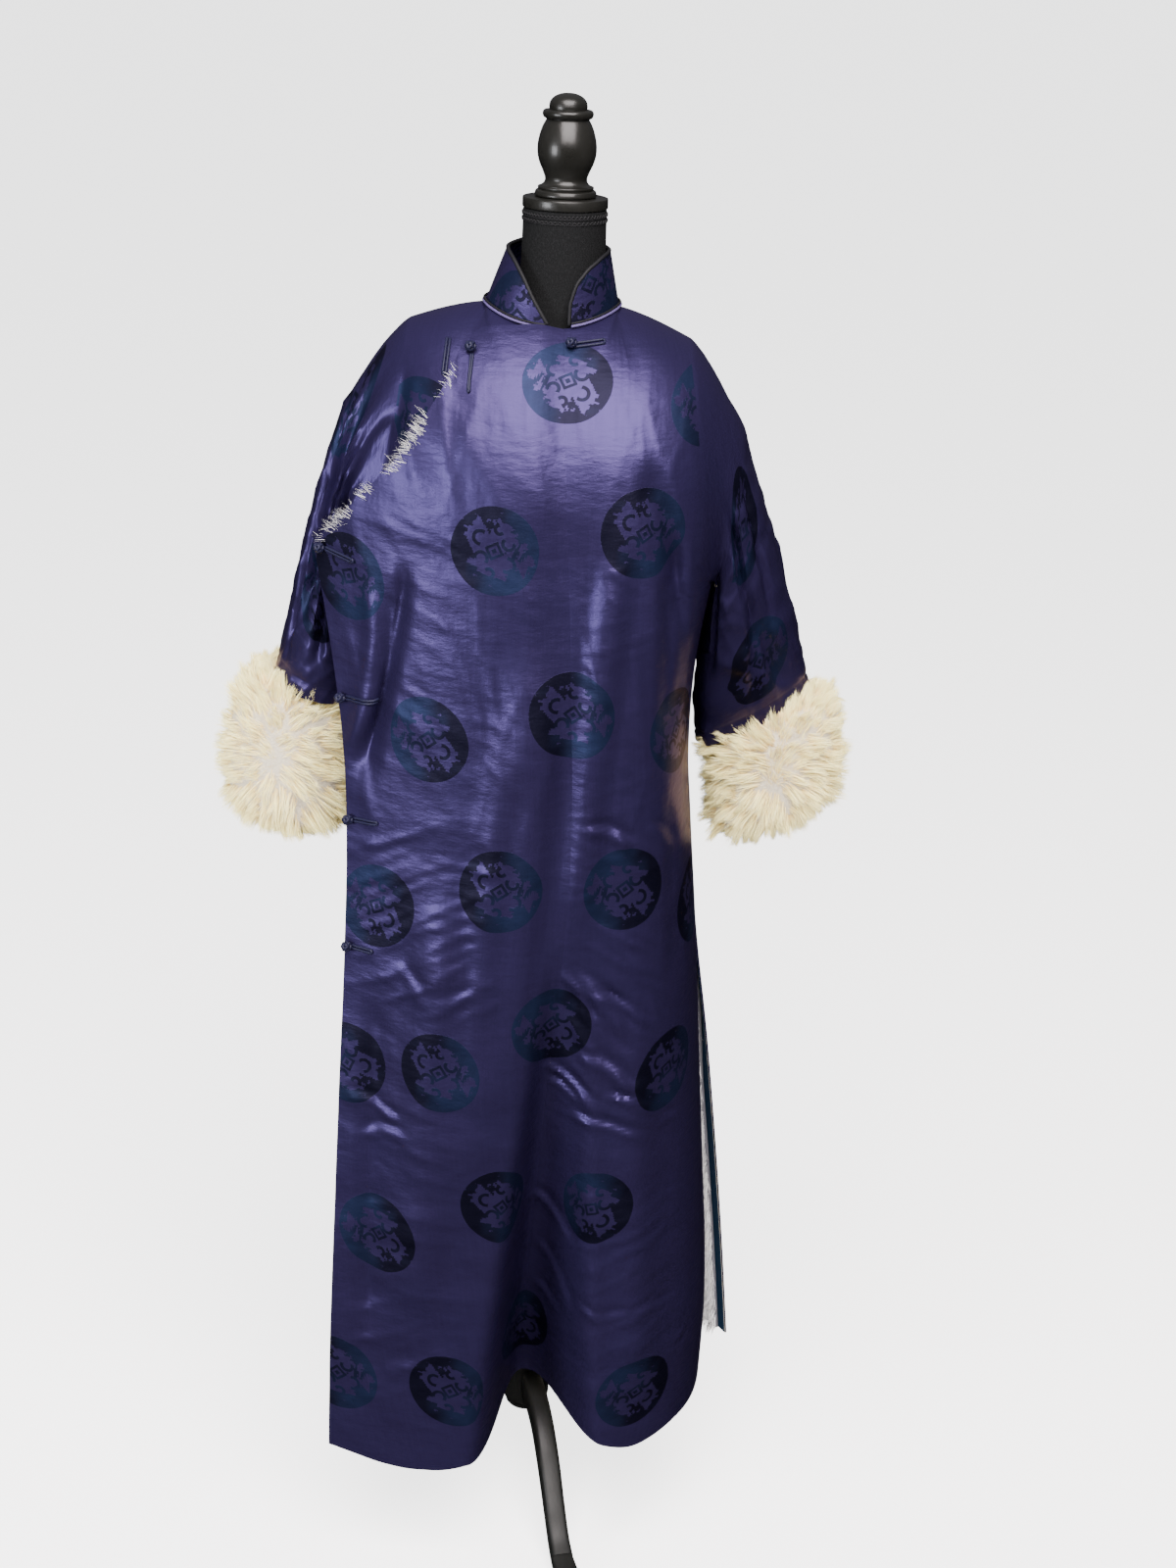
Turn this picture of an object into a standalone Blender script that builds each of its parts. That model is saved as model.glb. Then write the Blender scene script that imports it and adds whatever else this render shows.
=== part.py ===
"""Fur-lined robe hanging on a tailor's dress form with a turned neck cap and a tripod stand.

Metres, +Z up. While the pieces are modelled, the form's pole stands on x = y = 0, the front faces -Y and
the wearer's left is +X. At the end the whole object moves so that its box is centred over the origin.
"""
import math
from collections import namedtuple

import bmesh
import bpy
import numpy as np
from mathutils import Vector
from mathutils.bvhtree import BVHTree

# Cloth, fur and gaps
CLOTH = 0.003           # a silk wall with its backing
GAP = 0.0004            # between two pieces that meet
LIFT = 0.009            # the overlap lies this far off the under front, on its fur
PIPING = 0.0021         # radius of a cord piping

# Heights of the robe
HEM = 0.165
SLIT_TOP = 0.775        # the side seams are open below this
UNDERARM = 1.20
CHEST = 1.25            # the sections dome in to the shoulders above this
OVERLAP_CORNER = 1.235  # where the overlap's slanting edge meets its straight side edge

# The neck hole, an ellipse seen from above that rises from front to back
NECK_X = -0.0105
NECK_HALF_WIDTH = 0.0705
NECK_FRONT = 0.060
NECK_BACK = 0.056
NECK_FRONT_Z = 1.470
NECK_SIDE_Z = 1.4875
NECK_BACK_Z = 1.497

# Shoulder tips: x, z
TIP_LEFT = (-0.199, 1.453)
TIP_RIGHT = (0.176, 1.437)
UNDER_FRONT_X = -0.045  # inner edge of the narrow front under the overlap

# The robe's section at a height: centre front seam, free edge of the overlap, right and left sides with
# their depth, front and back depth, and the back panel's own edges, which stand clear below the slit tops.
Section = namedtuple(
    "Section", "z seam edge_x edge_y left right side front back back_left back_right back_side")
SECTIONS = [
    Section(0.13, -0.006, -0.228, -0.190, -0.212, 0.217, 0.020, -0.212, 0.205, -0.226, 0.260, 0.055),
    Section(0.30, -0.002, -0.227, -0.180, -0.207, 0.219, 0.008, -0.205, 0.195, -0.222, 0.243, 0.048),
    Section(0.45, 0.006, -0.223, -0.168, -0.203, 0.208, 0.002, -0.200, 0.186, -0.215, 0.226, 0.041),
    Section(0.60, 0.014, -0.219, -0.152, -0.200, 0.196, 0.002, -0.195, 0.178, -0.206, 0.207, 0.030),
    Section(0.775, 0.027, -0.214, -0.130, -0.196, 0.182, 0.010, -0.190, 0.170, -0.196, 0.182, 0.010),
    Section(0.90, 0.033, -0.213, -0.114, -0.190, 0.170, 0.010, -0.185, 0.160, -0.190, 0.170, 0.010),
    Section(1.00, 0.032, -0.217, -0.101, -0.186, 0.162, 0.010, -0.180, 0.152, -0.186, 0.162, 0.010),
    Section(1.10, 0.027, -0.230, -0.086, -0.190, 0.164, 0.010, -0.175, 0.150, -0.190, 0.164, 0.010),
    Section(1.20, 0.022, -0.248, -0.070, -0.200, 0.178, 0.010, -0.168, 0.152, -0.200, 0.178, 0.010),
    Section(1.25, 0.019, -0.258, -0.064, -0.205, 0.186, 0.010, -0.163, 0.152, -0.205, 0.186, 0.010),
    Section(1.47, 0.004, -0.258, -0.064, -0.199, 0.176, 0.010, -0.163, 0.152, -0.199, 0.176, 0.010),
]

# Height of the front hem over HEM, by its place across
HemPoint = namedtuple("HemPoint", "x rise")
FRONT_HEM = [
    HemPoint(-0.230, -0.012), HemPoint(-0.120, -0.030), HemPoint(-0.070, -0.022), HemPoint(-0.025, 0.006),
    HemPoint(0.060, 0.008), HemPoint(0.137, -0.002), HemPoint(0.190, 0.012), HemPoint(0.220, 0.013),
]

# The overlap's upper edge from the collar to its corner under the arm
EdgePoint = namedtuple("EdgePoint", "x z")
OVERLAP_EDGE = [
    EdgePoint(0.004, 1.4675), EdgePoint(-0.045, 1.461), EdgePoint(-0.080, 1.456), EdgePoint(-0.098, 1.444),
    EdgePoint(-0.109, 1.423), EdgePoint(-0.127, 1.393), EdgePoint(-0.157, 1.345), EdgePoint(-0.200, 1.295),
    EdgePoint(-0.234, 1.256), EdgePoint(-0.2545, OVERLAP_CORNER),
]

# Soft folds of the front and back, each along a line from its upper to its lower end. Depth sinks a trough
# into the robe, and a negative depth raises a ridge.
Fold = namedtuple("Fold", "top_x top_z low_x low_z half_width depth")
FRONT_FOLDS = [
    Fold(0.072, 1.300, 0.038, 0.790, 0.030, -0.009),
    Fold(0.128, 1.290, 0.138, 1.030, 0.020, 0.010),
    Fold(0.145, 1.010, 0.160, 0.740, 0.020, 0.009),
    Fold(0.095, 1.360, 0.150, 1.150, 0.024, 0.008),
    Fold(-0.150, 1.240, -0.195, 0.960, 0.020, 0.008),
    Fold(-0.100, 0.900, -0.130, 0.300, 0.045, -0.010),
    Fold(-0.175, 0.780, -0.185, 0.250, 0.022, 0.009),
    Fold(0.110, 0.760, 0.140, 0.200, 0.040, -0.010),
]
UNDER_FOLDS = [
    Fold(-0.181, 1.450, -0.177, 1.360, 0.016, -0.009),
    Fold(-0.160, 1.430, -0.185, 1.290, 0.014, 0.010),
]
BACK_FOLDS = [
    Fold(-0.150, 0.980, -0.190, 0.120, 0.040, -0.016),
    Fold(-0.075, 1.060, -0.100, 0.120, 0.036, 0.026),
    Fold(0.010, 0.980, 0.000, 0.120, 0.040, -0.012),
    Fold(0.085, 1.060, 0.105, 0.120, 0.038, 0.028),
    Fold(0.150, 0.940, 0.195, 0.120, 0.040, -0.015),
    Fold(-0.120, 1.400, -0.100, 1.150, 0.030, 0.007),
    Fold(0.110, 1.390, 0.095, 1.140, 0.030, 0.007),
]
CENTRE_FOLD_TOP = 0.82       # the deep fold on the centre seam starts here
CENTRE_FOLD_DEPTH = 0.150    # its depth at the hem
CENTRE_FOLD_HALF_WIDTH = (0.036, 0.088)  # at its top and at the hem

# A sleeve's rings, each from its outer to its inner point, with its half depth and the y of its middle
SleeveRing = namedtuple("SleeveRing", "outer_x outer_z inner_x inner_z half_depth y")
SLEEVE_RIGHT_OF_VIEW = [
    SleeveRing(0.190, 1.398, 0.1850, 1.190, 0.083, 0.012),
    SleeveRing(0.205, 1.356, 0.1870, 1.172, 0.080, 0.012),
    SleeveRing(0.227, 1.290, 0.1860, 1.148, 0.074, 0.014),
    SleeveRing(0.246, 1.238, 0.1830, 1.118, 0.068, 0.018),
    SleeveRing(0.268, 1.168, 0.1790, 1.078, 0.061, 0.022),
    SleeveRing(0.284, 1.110, 0.1745, 1.032, 0.053, 0.026),
    SleeveRing(0.299, 1.060, 0.1715, 0.985, 0.046, 0.030),
]
SLEEVE_LEFT_OF_VIEW = [
    SleeveRing(-0.214, 1.426, -0.2085, 1.190, 0.083, 0.014),
    SleeveRing(-0.233, 1.373, -0.2120, 1.174, 0.081, 0.015),
    SleeveRing(-0.253, 1.316, -0.2140, 1.150, 0.078, 0.017),
    SleeveRing(-0.271, 1.250, -0.2160, 1.120, 0.075, 0.019),
    SleeveRing(-0.286, 1.190, -0.2180, 1.090, 0.072, 0.021),
    SleeveRing(-0.300, 1.125, -0.2200, 1.060, 0.069, 0.023),
    SleeveRing(-0.315, 1.056, -0.2230, 1.030, 0.065, 0.025),
]
# Folds round a sleeve: place along it from 0 to 1, turn from its top over the front, slant of the line in
# degrees of turn for its whole length, half width in degrees and depth
SleeveFold = namedtuple("SleeveFold", "start end turn slant half_width depth")
SLEEVE_FOLDS_RIGHT = [
    SleeveFold(0.10, 0.85, 55.0, 20.0, 22.0, 0.010),
    SleeveFold(0.50, 1.00, 105.0, -60.0, 20.0, 0.009),
    SleeveFold(0.15, 0.90, 235.0, 15.0, 24.0, 0.010),
    SleeveFold(0.20, 0.95, 300.0, -20.0, 24.0, 0.008),
]
SLEEVE_FOLDS_LEFT = [
    SleeveFold(0.02, 0.75, 48.0, 14.0, 18.0, 0.014),
    SleeveFold(0.05, 0.90, 88.0, 6.0, 15.0, 0.010),
    SleeveFold(0.15, 0.90, 235.0, 15.0, 24.0, 0.010),
    SleeveFold(0.20, 0.95, 300.0, -20.0, 24.0, 0.008),
]

SLEEVE_START = 0.004        # a sleeve leaves its armhole, and reaches its cuff, straight for this far

# A fur cuff's outline: rings from under its top to its bottom, as a sleeve's, and the width of its bore.
# Its top lies in the plane of the sleeve's end and reaches past it by the amounts of CUFF_TOP.
CuffRing = namedtuple("CuffRing", "outer_x outer_z inner_x inner_z half_depth y")
CUFF_RIGHT_OF_VIEW = [
    CuffRing(0.344, 1.050, 0.1720, 0.954, 0.073, 0.031),
    CuffRing(0.355, 0.995, 0.1760, 0.918, 0.078, 0.032),
    CuffRing(0.352, 0.945, 0.1800, 0.886, 0.072, 0.033),
    CuffRing(0.325, 0.916, 0.1980, 0.873, 0.052, 0.034),
]
CUFF_LEFT_OF_VIEW = [
    CuffRing(-0.376, 1.030, -0.2040, 0.998, 0.082, 0.025),
    CuffRing(-0.394, 0.958, -0.2030, 0.950, 0.088, 0.026),
    CuffRing(-0.383, 0.902, -0.2110, 0.890, 0.080, 0.027),
    CuffRing(-0.340, 0.872, -0.2400, 0.868, 0.058, 0.028),
]
CuffTop = namedtuple("CuffTop", "past_outer past_inner past_depth")
CUFF_TOP_RIGHT_OF_VIEW = CuffTop(0.022, 0.003, 0.012)
CUFF_TOP_LEFT_OF_VIEW = CuffTop(0.036, 0.008, 0.008)
CUFF_BORE = 0.45            # the mouth's width as a share of the cuff's

# Collar: height round the neck from its left end, past the back, to its right end. Turn 0 is the front.
CollarPoint = namedtuple("CollarPoint", "turn height")
COLLAR = [
    CollarPoint(-4.0, 0.003), CollarPoint(-10.0, 0.012), CollarPoint(-21.0, 0.026), CollarPoint(-34.0, 0.040),
    CollarPoint(-50.0, 0.050), CollarPoint(-80.0, 0.056), CollarPoint(-130.0, 0.055),
    CollarPoint(-180.0, 0.054), CollarPoint(-230.0, 0.055), CollarPoint(-280.0, 0.056),
    CollarPoint(-308.0, 0.055), CollarPoint(-328.0, 0.048), CollarPoint(-338.0, 0.036),
    CollarPoint(-342.0, 0.023),
]
COLLAR_WALL = 0.0025
COLLAR_TOP_HALF_WIDTH = 0.0545
COLLAR_TOP_DEPTH = 0.053
COLLAR_TOP_X = -0.0055

# Knotted cord fasteners on the overlap: the knot, and the far end of its looped strap
Fastener = namedtuple("Fastener", "name knot_x knot_z strap_x strap_z")
FASTENERS = [
    Fastener("neck", 0.0130, 1.4560, 0.0460, 1.4610),
    Fastener("shoulder", -0.0890, 1.4440, -0.0900, 1.4080),
    Fastener("corner", -0.2430, 1.2300, -0.2090, 1.2220),
    Fastener("side_upper", -0.2180, 1.0660, -0.1830, 1.0710),
    Fastener("side_middle", -0.2080, 0.9290, -0.1790, 0.9320),
    Fastener("side_lower", -0.2080, 0.7830, -0.1830, 0.7830),
]
KNOT_RADIUS = 0.0062
KNOT_REST = 0.0002           # the ball's facets lie inside its radius, so it clears the cloth by more
STRAP_WIDTH = 0.0065
STRAP_THICKNESS = 0.0030
STRAP_REST = 0.0006          # a strap's underside lies this far off the facets
LOOSE_LOOP_REST = 0.0016     # the under front bends more below its strap
LOOSE_LOOP = (-0.117, 1.4560, -0.1190, 1.4250)   # upper and lower end, x and z, on the under front

# Fur that stands out past the overlap's slanting edge, and the strips at the open slit
EDGE_FUR_INSIDE = 0.016
EDGE_FUR_OUTSIDE = 0.011
EDGE_FUR_DEPTH = 0.0040      # of its outer face below the overlap's outer face
EDGE_FUR_THICKNESS = 0.0032
FACING_WIDTH = 0.016
SLIT_FUR_WIDTH = 0.036
SLIT_FUR_THICKNESS = 0.012

# Dress form: half width and half depth by height
FormSection = namedtuple("FormSection", "z half_width half_depth y")
FORM = [
    FormSection(0.700, 0.142, 0.100, 0.000), FormSection(0.730, 0.148, 0.106, 0.000),
    FormSection(0.800, 0.152, 0.112, 0.000), FormSection(0.900, 0.146, 0.106, 0.000),
    FormSection(1.000, 0.137, 0.099, 0.000), FormSection(1.100, 0.142, 0.103, 0.000),
    FormSection(1.200, 0.152, 0.111, 0.000), FormSection(1.290, 0.158, 0.112, 0.002),
    FormSection(1.350, 0.157, 0.102, 0.002), FormSection(1.395, 0.148, 0.083, 0.002),
    FormSection(1.425, 0.122, 0.066, 0.002), FormSection(1.445, 0.086, 0.057, 0.000),
    FormSection(1.462, 0.055, 0.049, 0.000), FormSection(1.485, 0.048, 0.0465, 0.000),
    FormSection(1.530, 0.0455, 0.0450, 0.000), FormSection(1.5885, 0.0445, 0.0445, 0.000),
]
DISC_RADIUS = 0.0456
DISC_HEIGHTS = (1.589, 1.600)
# The finial's turned outline from its tip down: radius, height
FINIAL = [
    (0.0, 1.7060), (0.0110, 1.7045), (0.0180, 1.6995), (0.0205, 1.6930), (0.0195, 1.6890),
    (0.0262, 1.6875), (0.0267, 1.6845), (0.0262, 1.6815), (0.0225, 1.6790), (0.0270, 1.6700),
    (0.0308, 1.6580), (0.0314, 1.6490), (0.0300, 1.6390), (0.0262, 1.6290), (0.0226, 1.6205),
    (0.0232, 1.6150), (0.0285, 1.6120), (0.0290, 1.6080), (0.0325, 1.6070), (0.0325, 1.6004), (0.0, 1.6004),
]
POLE_RADIUS = 0.0125
HUB_RADIUS = 0.0290
HUB_HEIGHTS = (0.085, 0.215)
HUB = [
    (0.0, 0.2150), (0.0150, 0.2150), (0.0190, 0.2080), (0.0240, 0.2040), (0.0290, 0.1960), (0.0290, 0.1020),
    (0.0250, 0.0960), (0.0250, 0.0920), (0.0160, 0.0860), (0.0, 0.0850),
]
# A leg's curve from the hub to its foot: distance out, height, width and thickness
LegPoint = namedtuple("LegPoint", "out z width thickness")
LEG = [
    LegPoint(0.0295, 0.1300, 0.026, 0.040), LegPoint(0.060, 0.1300, 0.026, 0.034),
    LegPoint(0.100, 0.1180, 0.026, 0.030), LegPoint(0.140, 0.0900, 0.026, 0.027),
    LegPoint(0.175, 0.0560, 0.025, 0.025), LegPoint(0.205, 0.0290, 0.025, 0.024),
    LegPoint(0.230, 0.0160, 0.026, 0.022),
]
FOOT_REACH = 0.250
FOOT_RADIUS = 0.0150
FOOT_HEIGHT = 0.0200
FRONT_LEG_AZIMUTH = 14.0     # degrees from the front towards +X

# Grid sizes
ROWS_BELOW_SLIT = 12
ROWS_ABOVE_SLIT = 9
DOME_ROWS = 6
COLUMNS = 13
OVERLAP_COLUMNS = 16
ARM_COLUMN = 10              # the armhole starts at this column
NECK_COLUMNS = 6             # columns that end on the neck hole
SEAM_COLUMN = 0.008          # share of the width taken by the first column beside a seam
SLEEVE_PLACES = 10
CUFF_SEGMENTS = 24
COLLAR_COLUMNS = 33
COLLAR_ROWS = 4
STRAP_PLACES = 6
FORM_SEGMENTS = 24
WOOD_SEGMENTS = 22
KNOT_SEGMENTS = (10, 6)


def smooth_curve(at, knots, values):
    """Cubic through the knots, whose slope at a knot is the central difference there."""
    knots = np.asarray(knots, dtype=float)
    values = np.asarray(values, dtype=float)
    slopes = np.gradient(values, knots)
    at = np.clip(at, knots[0], knots[-1])
    i = np.clip(np.searchsorted(knots, at, side="right") - 1, 0, len(knots) - 2)
    span = knots[i + 1] - knots[i]
    t = (at - knots[i]) / span
    return ((2 * t**3 - 3 * t**2 + 1) * values[i] + (t**3 - 2 * t**2 + t) * span * slopes[i]
            + (3 * t**2 - 2 * t**3) * values[i + 1] + (t**3 - t**2) * span * slopes[i + 1])


def ramp(value):
    """0 below 0, 1 above 1 and a smooth step between."""
    value = np.clip(value, 0.0, 1.0)
    return value * value * (3 - 2 * value)


def table(rows, key, at, by="z"):
    """A column of a table of rows, read at a height or another key column."""
    return smooth_curve(at, [getattr(row, by) for row in rows], [getattr(row, key) for row in rows])


def section(key, z):
    """A size of the robe's section at a height, kept from its lowest row down."""
    return table(SECTIONS, key, z)


def back_section(key, z):
    """A size of the back panel: its own below the slit top, the same as the front's above it."""
    return np.where(z > SLIT_TOP - 1e-6, section(key, z), section("back_" + key, z))


def neck_sine(x):
    return np.clip((x - NECK_X) / NECK_HALF_WIDTH, -1.0, 1.0)


def top_z(x, back=False):
    """Height of the neck hole's edge, or of the shoulder line beside it and its run past the tip."""
    middle = NECK_BACK_Z if back else NECK_FRONT_Z
    arc = middle + (NECK_SIDE_Z - middle) * neck_sine(x) ** 2
    inner_right = NECK_X + NECK_HALF_WIDTH
    inner_left = NECK_X - NECK_HALF_WIDTH
    along_right = np.clip((x - inner_right) / (TIP_RIGHT[0] - inner_right), 0.0, 1.0)
    along_left = np.clip((inner_left - x) / (inner_left - TIP_LEFT[0]), 0.0, 1.0)
    drop = (NECK_SIDE_Z - TIP_RIGHT[1]) * along_right**1.25 + (NECK_SIDE_Z - TIP_LEFT[1]) * along_left**1.4
    beyond = np.clip(TIP_LEFT[0] - x, 0.0, None)
    return arc - drop - 1.2 * beyond


def top_y(x, back=False):
    depth = NECK_BACK if back else -NECK_FRONT
    return depth * np.sqrt(1 - neck_sine(x) ** 2)


def dome(x, z, y, back=False):
    """Carry a chest section's y up to the shoulder line: full at the chest, rounded at the shoulder."""
    edge_y = top_y(x, back)
    rise = np.clip((z - CHEST) / (top_z(x, back) - CHEST), 0.0, 1.0)
    near_neck = np.clip(1 - np.abs(x - NECK_X) / (1.7 * NECK_HALF_WIDTH), 0.0, 1.0)
    power = 0.52 + 0.38 * ramp(near_neck)
    return edge_y + (y - edge_y) * (1 - rise**2.2) ** power


def fold_depth(x, z, folds):
    """Sum of the folds: each is a squared cosine across its line, fading in and out along it."""
    total = np.zeros(np.broadcast(x, z).shape)
    for fold in folds:
        along_x = fold.low_x - fold.top_x
        along_z = fold.low_z - fold.top_z
        length = math.hypot(along_x, along_z)
        place = ((x - fold.top_x) * along_x + (z - fold.top_z) * along_z) / length**2
        across = ((x - fold.top_x) * along_z - (z - fold.top_z) * along_x) / length
        shape = np.cos(0.5 * np.pi * np.clip(across / fold.half_width, -1, 1)) ** 2
        total = total + fold.depth * shape * ramp(place / 0.22) * ramp((1 - place) / 0.22)
    return total


def centre_fold(x, z):
    """The deep fold on the centre seam, nothing at its top and widest and deepest at the hem."""
    growth = np.clip((CENTRE_FOLD_TOP - z) / (CENTRE_FOLD_TOP - HEM), 0.0, 1.1)
    narrow, wide = CENTRE_FOLD_HALF_WIDTH
    half_width = narrow + (wide - narrow) * growth
    across = np.clip((x - section("seam", z)) / half_width, -1, 1)
    return CENTRE_FOLD_DEPTH * growth**1.25 * np.cos(0.5 * np.pi * across) ** 2


def front_section(x, z):
    """y of the front at a height: boxy on the wearer's left, a flat crowned panel on the overlap's side."""
    seam = section("seam", z)
    deep = section("front", z)
    side = section("side", z)
    edge_y = section("edge_y", z)
    to_right = np.clip((x - seam) / (section("right", z) - seam), 0.0, 1.0)
    to_left = np.clip((seam - x) / (seam - section("edge_x", z)), 0.0, 1.15)
    on_right = side + (deep - side) * (1 - to_right**3) ** (1 / 3)
    on_left = edge_y + (deep - edge_y) * (1 - to_left**2.2)
    return np.where(x > seam, on_right, on_left)


def front_y(x, z):
    """The front's outer surface as a height field over x and z."""
    level = np.minimum(z, CHEST)
    seam = section("seam", level)
    to_right = np.clip((x - seam) / (section("right", level) - seam), 0.0, 1.0)
    rise = np.clip((z - CHEST) / (top_z(x) - CHEST), 0.0, 1.0)
    fade = (1 - to_right**6) * (1 - rise**4)
    y = dome(x, z, front_section(x, level))
    return y + fade * fold_depth(x, z, FRONT_FOLDS) + centre_fold(x, z)


def under_y(x, z):
    """The under front: it follows the front beneath the overlap, then turns in to the side seam."""
    level = np.minimum(z, CHEST)
    seam = section("seam", level)
    side = section("side", level)
    turn = np.clip((seam - x) / (seam - section("left", level)), 0.0, 1.0)
    rise = np.clip((z - CHEST) / (top_z(x) - CHEST), 0.0, 1.0)
    fade = (1 - turn**6) * (1 - rise**4)
    y = side + (front_section(x, level) - side) * np.sqrt(1 - turn**6)
    return dome(x, z, y) + fade * fold_depth(x, z, UNDER_FOLDS)


def back_y(x, z):
    """The back's outer surface as a height field, with its flutes."""
    level = np.minimum(z, CHEST)
    side = back_section("side", level)
    width = np.where(x > 0, back_section("right", level), -back_section("left", level))
    out = np.clip(np.abs(x) / width, 0.0, 1.0)
    rise = np.clip((z - CHEST) / (top_z(x, True) - CHEST), 0.0, 1.0)
    y = side + (section("back", level) - side) * (1 - out**2.5) ** (1 / 2.5)
    fade = (1 - out**8) * (1 - rise**4)
    return dome(x, z, y, True) - fade * fold_depth(x, z, BACK_FOLDS)


def front_normal(x, z, surface=front_y):
    """Outward unit normal of a front height field, from differences a millimetre apart."""
    step = 0.001
    slope_x = (surface(x + step, z) - surface(x - step, z)) / (2 * step)
    slope_z = (surface(x, z + step) - surface(x, z - step)) / (2 * step)
    normal = np.stack([slope_x, -np.ones_like(slope_x), slope_z], axis=-1)
    return normal / np.linalg.norm(normal, axis=-1, keepdims=True)


def overlap_points(x, z):
    """Points of the overlap's outer surface: the front, lifted off the under front away from the seam."""
    level = np.minimum(z, CHEST)
    lift = LIFT * ramp((section("seam", level) - 0.004 - x) / 0.042)
    points = np.stack([x, front_y(x, z), z], axis=-1)
    return points + front_normal(x, z) * lift[..., None]


def hem_height(x, z):
    """Height of a row of the front: its level, moved by the hem's rise and fading 0.3 m above it."""
    rise = smooth_curve(x, [point.x for point in FRONT_HEM], [point.rise for point in FRONT_HEM])
    return z + rise * np.clip(1 - (z - HEM) / 0.3, 0.0, 1.0)


def levels_below():
    """Heights of the rows from the hem to the chest, with one at the slit top and one at the underarm."""
    low = np.linspace(HEM, SLIT_TOP, ROWS_BELOW_SLIT)
    middle = np.linspace(SLIT_TOP, UNDERARM, ROWS_ABOVE_SLIT)[1:]
    return np.concatenate([low, middle, [0.5 * (UNDERARM + CHEST), CHEST]])


def panel_grid(part, inner, outer, neck_edge, tip, surface, back=False, first_level=HEM):
    """Grid of a body panel: rows from the hem over the chest to the neck and shoulder line.

    part holds each column's share of the way from the inner to the outer line. The columns up to
    NECK_COLUMNS end on the neck hole, from neck_edge outwards, and the rest on the shoulder line.
    """
    levels = levels_below()
    levels = levels[levels > first_level - 1e-6][:, None]
    x = inner(levels) + (outer(levels) - inner(levels)) * part[None, :]
    z = levels + 0 * x
    if not back:
        z = hem_height(x, z)
    side = 1.0 if tip > 0 else -1.0
    start = math.asin(neck_sine(neck_edge))
    turn = start + (side * math.pi / 2 - start) * part[:NECK_COLUMNS + 1] / part[NECK_COLUMNS]
    neck_x = NECK_X + NECK_HALF_WIDTH * np.sin(turn)
    share = (part[NECK_COLUMNS:] - part[NECK_COLUMNS]) / (1 - part[NECK_COLUMNS])
    shoulder_x = neck_x[-1] + (tip - neck_x[-1]) * share
    top_x = np.concatenate([neck_x, shoulder_x[1:]])[None, :]
    t = np.linspace(0, 1, DOME_ROWS + 1)[1:, None]
    dome_x = x[-1:] + (top_x - x[-1:]) * ramp(t)
    dome_z = CHEST + (top_z(dome_x, back) - CHEST) * np.sin(0.5 * np.pi * t)
    x = np.concatenate([x, dome_x])
    z = np.concatenate([z, dome_z])
    return np.stack([x, surface(x, z), z], axis=-1)


def make_material(name, colour, roughness, metallic=0.0):
    material = bpy.data.materials.new(name)
    material.use_nodes = True
    shader = material.node_tree.nodes["Principled BSDF"]
    shader.inputs["Base Color"].default_value = (*colour, 1.0)
    shader.inputs["Roughness"].default_value = roughness
    shader.inputs["Metallic"].default_value = metallic
    return material


def add_object(name, mesh, material):
    mesh.materials.append(material)
    piece = bpy.data.objects.new(name, mesh)
    collection.objects.link(piece)
    return piece


def grid_wall(name, grids, material, thickness=CLOTH, offset=-1.0):
    """A wall from grids of points. Each grid is (points, skip, flip); equal points of two grids join."""
    shape = bmesh.new()
    for points, skip, flip in grids:
        rows, columns = points.shape[:2]
        corners = [[shape.verts.new(points[j, i]) for i in range(columns)] for j in range(rows)]
        for j in range(rows - 1):
            for i in range(columns - 1):
                if skip(j, i):
                    continue
                face = [corners[j][i], corners[j][i + 1], corners[j + 1][i + 1], corners[j + 1][i]]
                shape.faces.new(face[::-1] if flip else face)
    loose = [vertex for vertex in shape.verts if not vertex.link_faces]
    bmesh.ops.delete(shape, geom=loose, context="VERTS")
    bmesh.ops.remove_doubles(shape, verts=shape.verts, dist=1e-5)
    mesh = bpy.data.meshes.new(name)
    shape.to_mesh(mesh)
    shape.free()
    mesh.shade_smooth()
    piece = add_object(name, mesh, material)
    wall = piece.modifiers.new("Wall", "SOLIDIFY")
    wall.thickness = thickness
    wall.offset = offset
    return piece


def loft(name, rings, material, closed=False, flip=False):
    """A closed body through rings of points, capped at its ends or joined into a ring."""
    shape = bmesh.new()
    corners = [[shape.verts.new(point) for point in ring] for ring in rings]
    count = len(corners[0])
    pairs = list(zip(corners, corners[1:]))
    if closed:
        pairs.append((corners[-1], corners[0]))
    for low, high in pairs:
        for i in range(count):
            k = (i + 1) % count
            face = [low[i], low[k], high[k], high[i]]
            shape.faces.new(face[::-1] if flip else face)
    if not closed:
        shape.faces.new(corners[0] if flip else corners[0][::-1])
        shape.faces.new(corners[-1][::-1] if flip else corners[-1])
    mesh = bpy.data.meshes.new(name)
    shape.to_mesh(mesh)
    shape.free()
    mesh.shade_smooth()
    return add_object(name, mesh, material)


def cord(name, points, radius, material):
    """A round cord along a path, with closed ends."""
    curve = bpy.data.curves.new(name, "CURVE")
    curve.dimensions = "3D"
    curve.bevel_depth = radius
    curve.bevel_resolution = 1
    curve.use_fill_caps = True
    spline = curve.splines.new("POLY")
    spline.points.add(len(points) - 1)
    for point, place in zip(spline.points, points):
        point.co = (*place, 1.0)
    curve.materials.append(material)
    piece = bpy.data.objects.new(name, curve)
    collection.objects.link(piece)
    return piece


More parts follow.
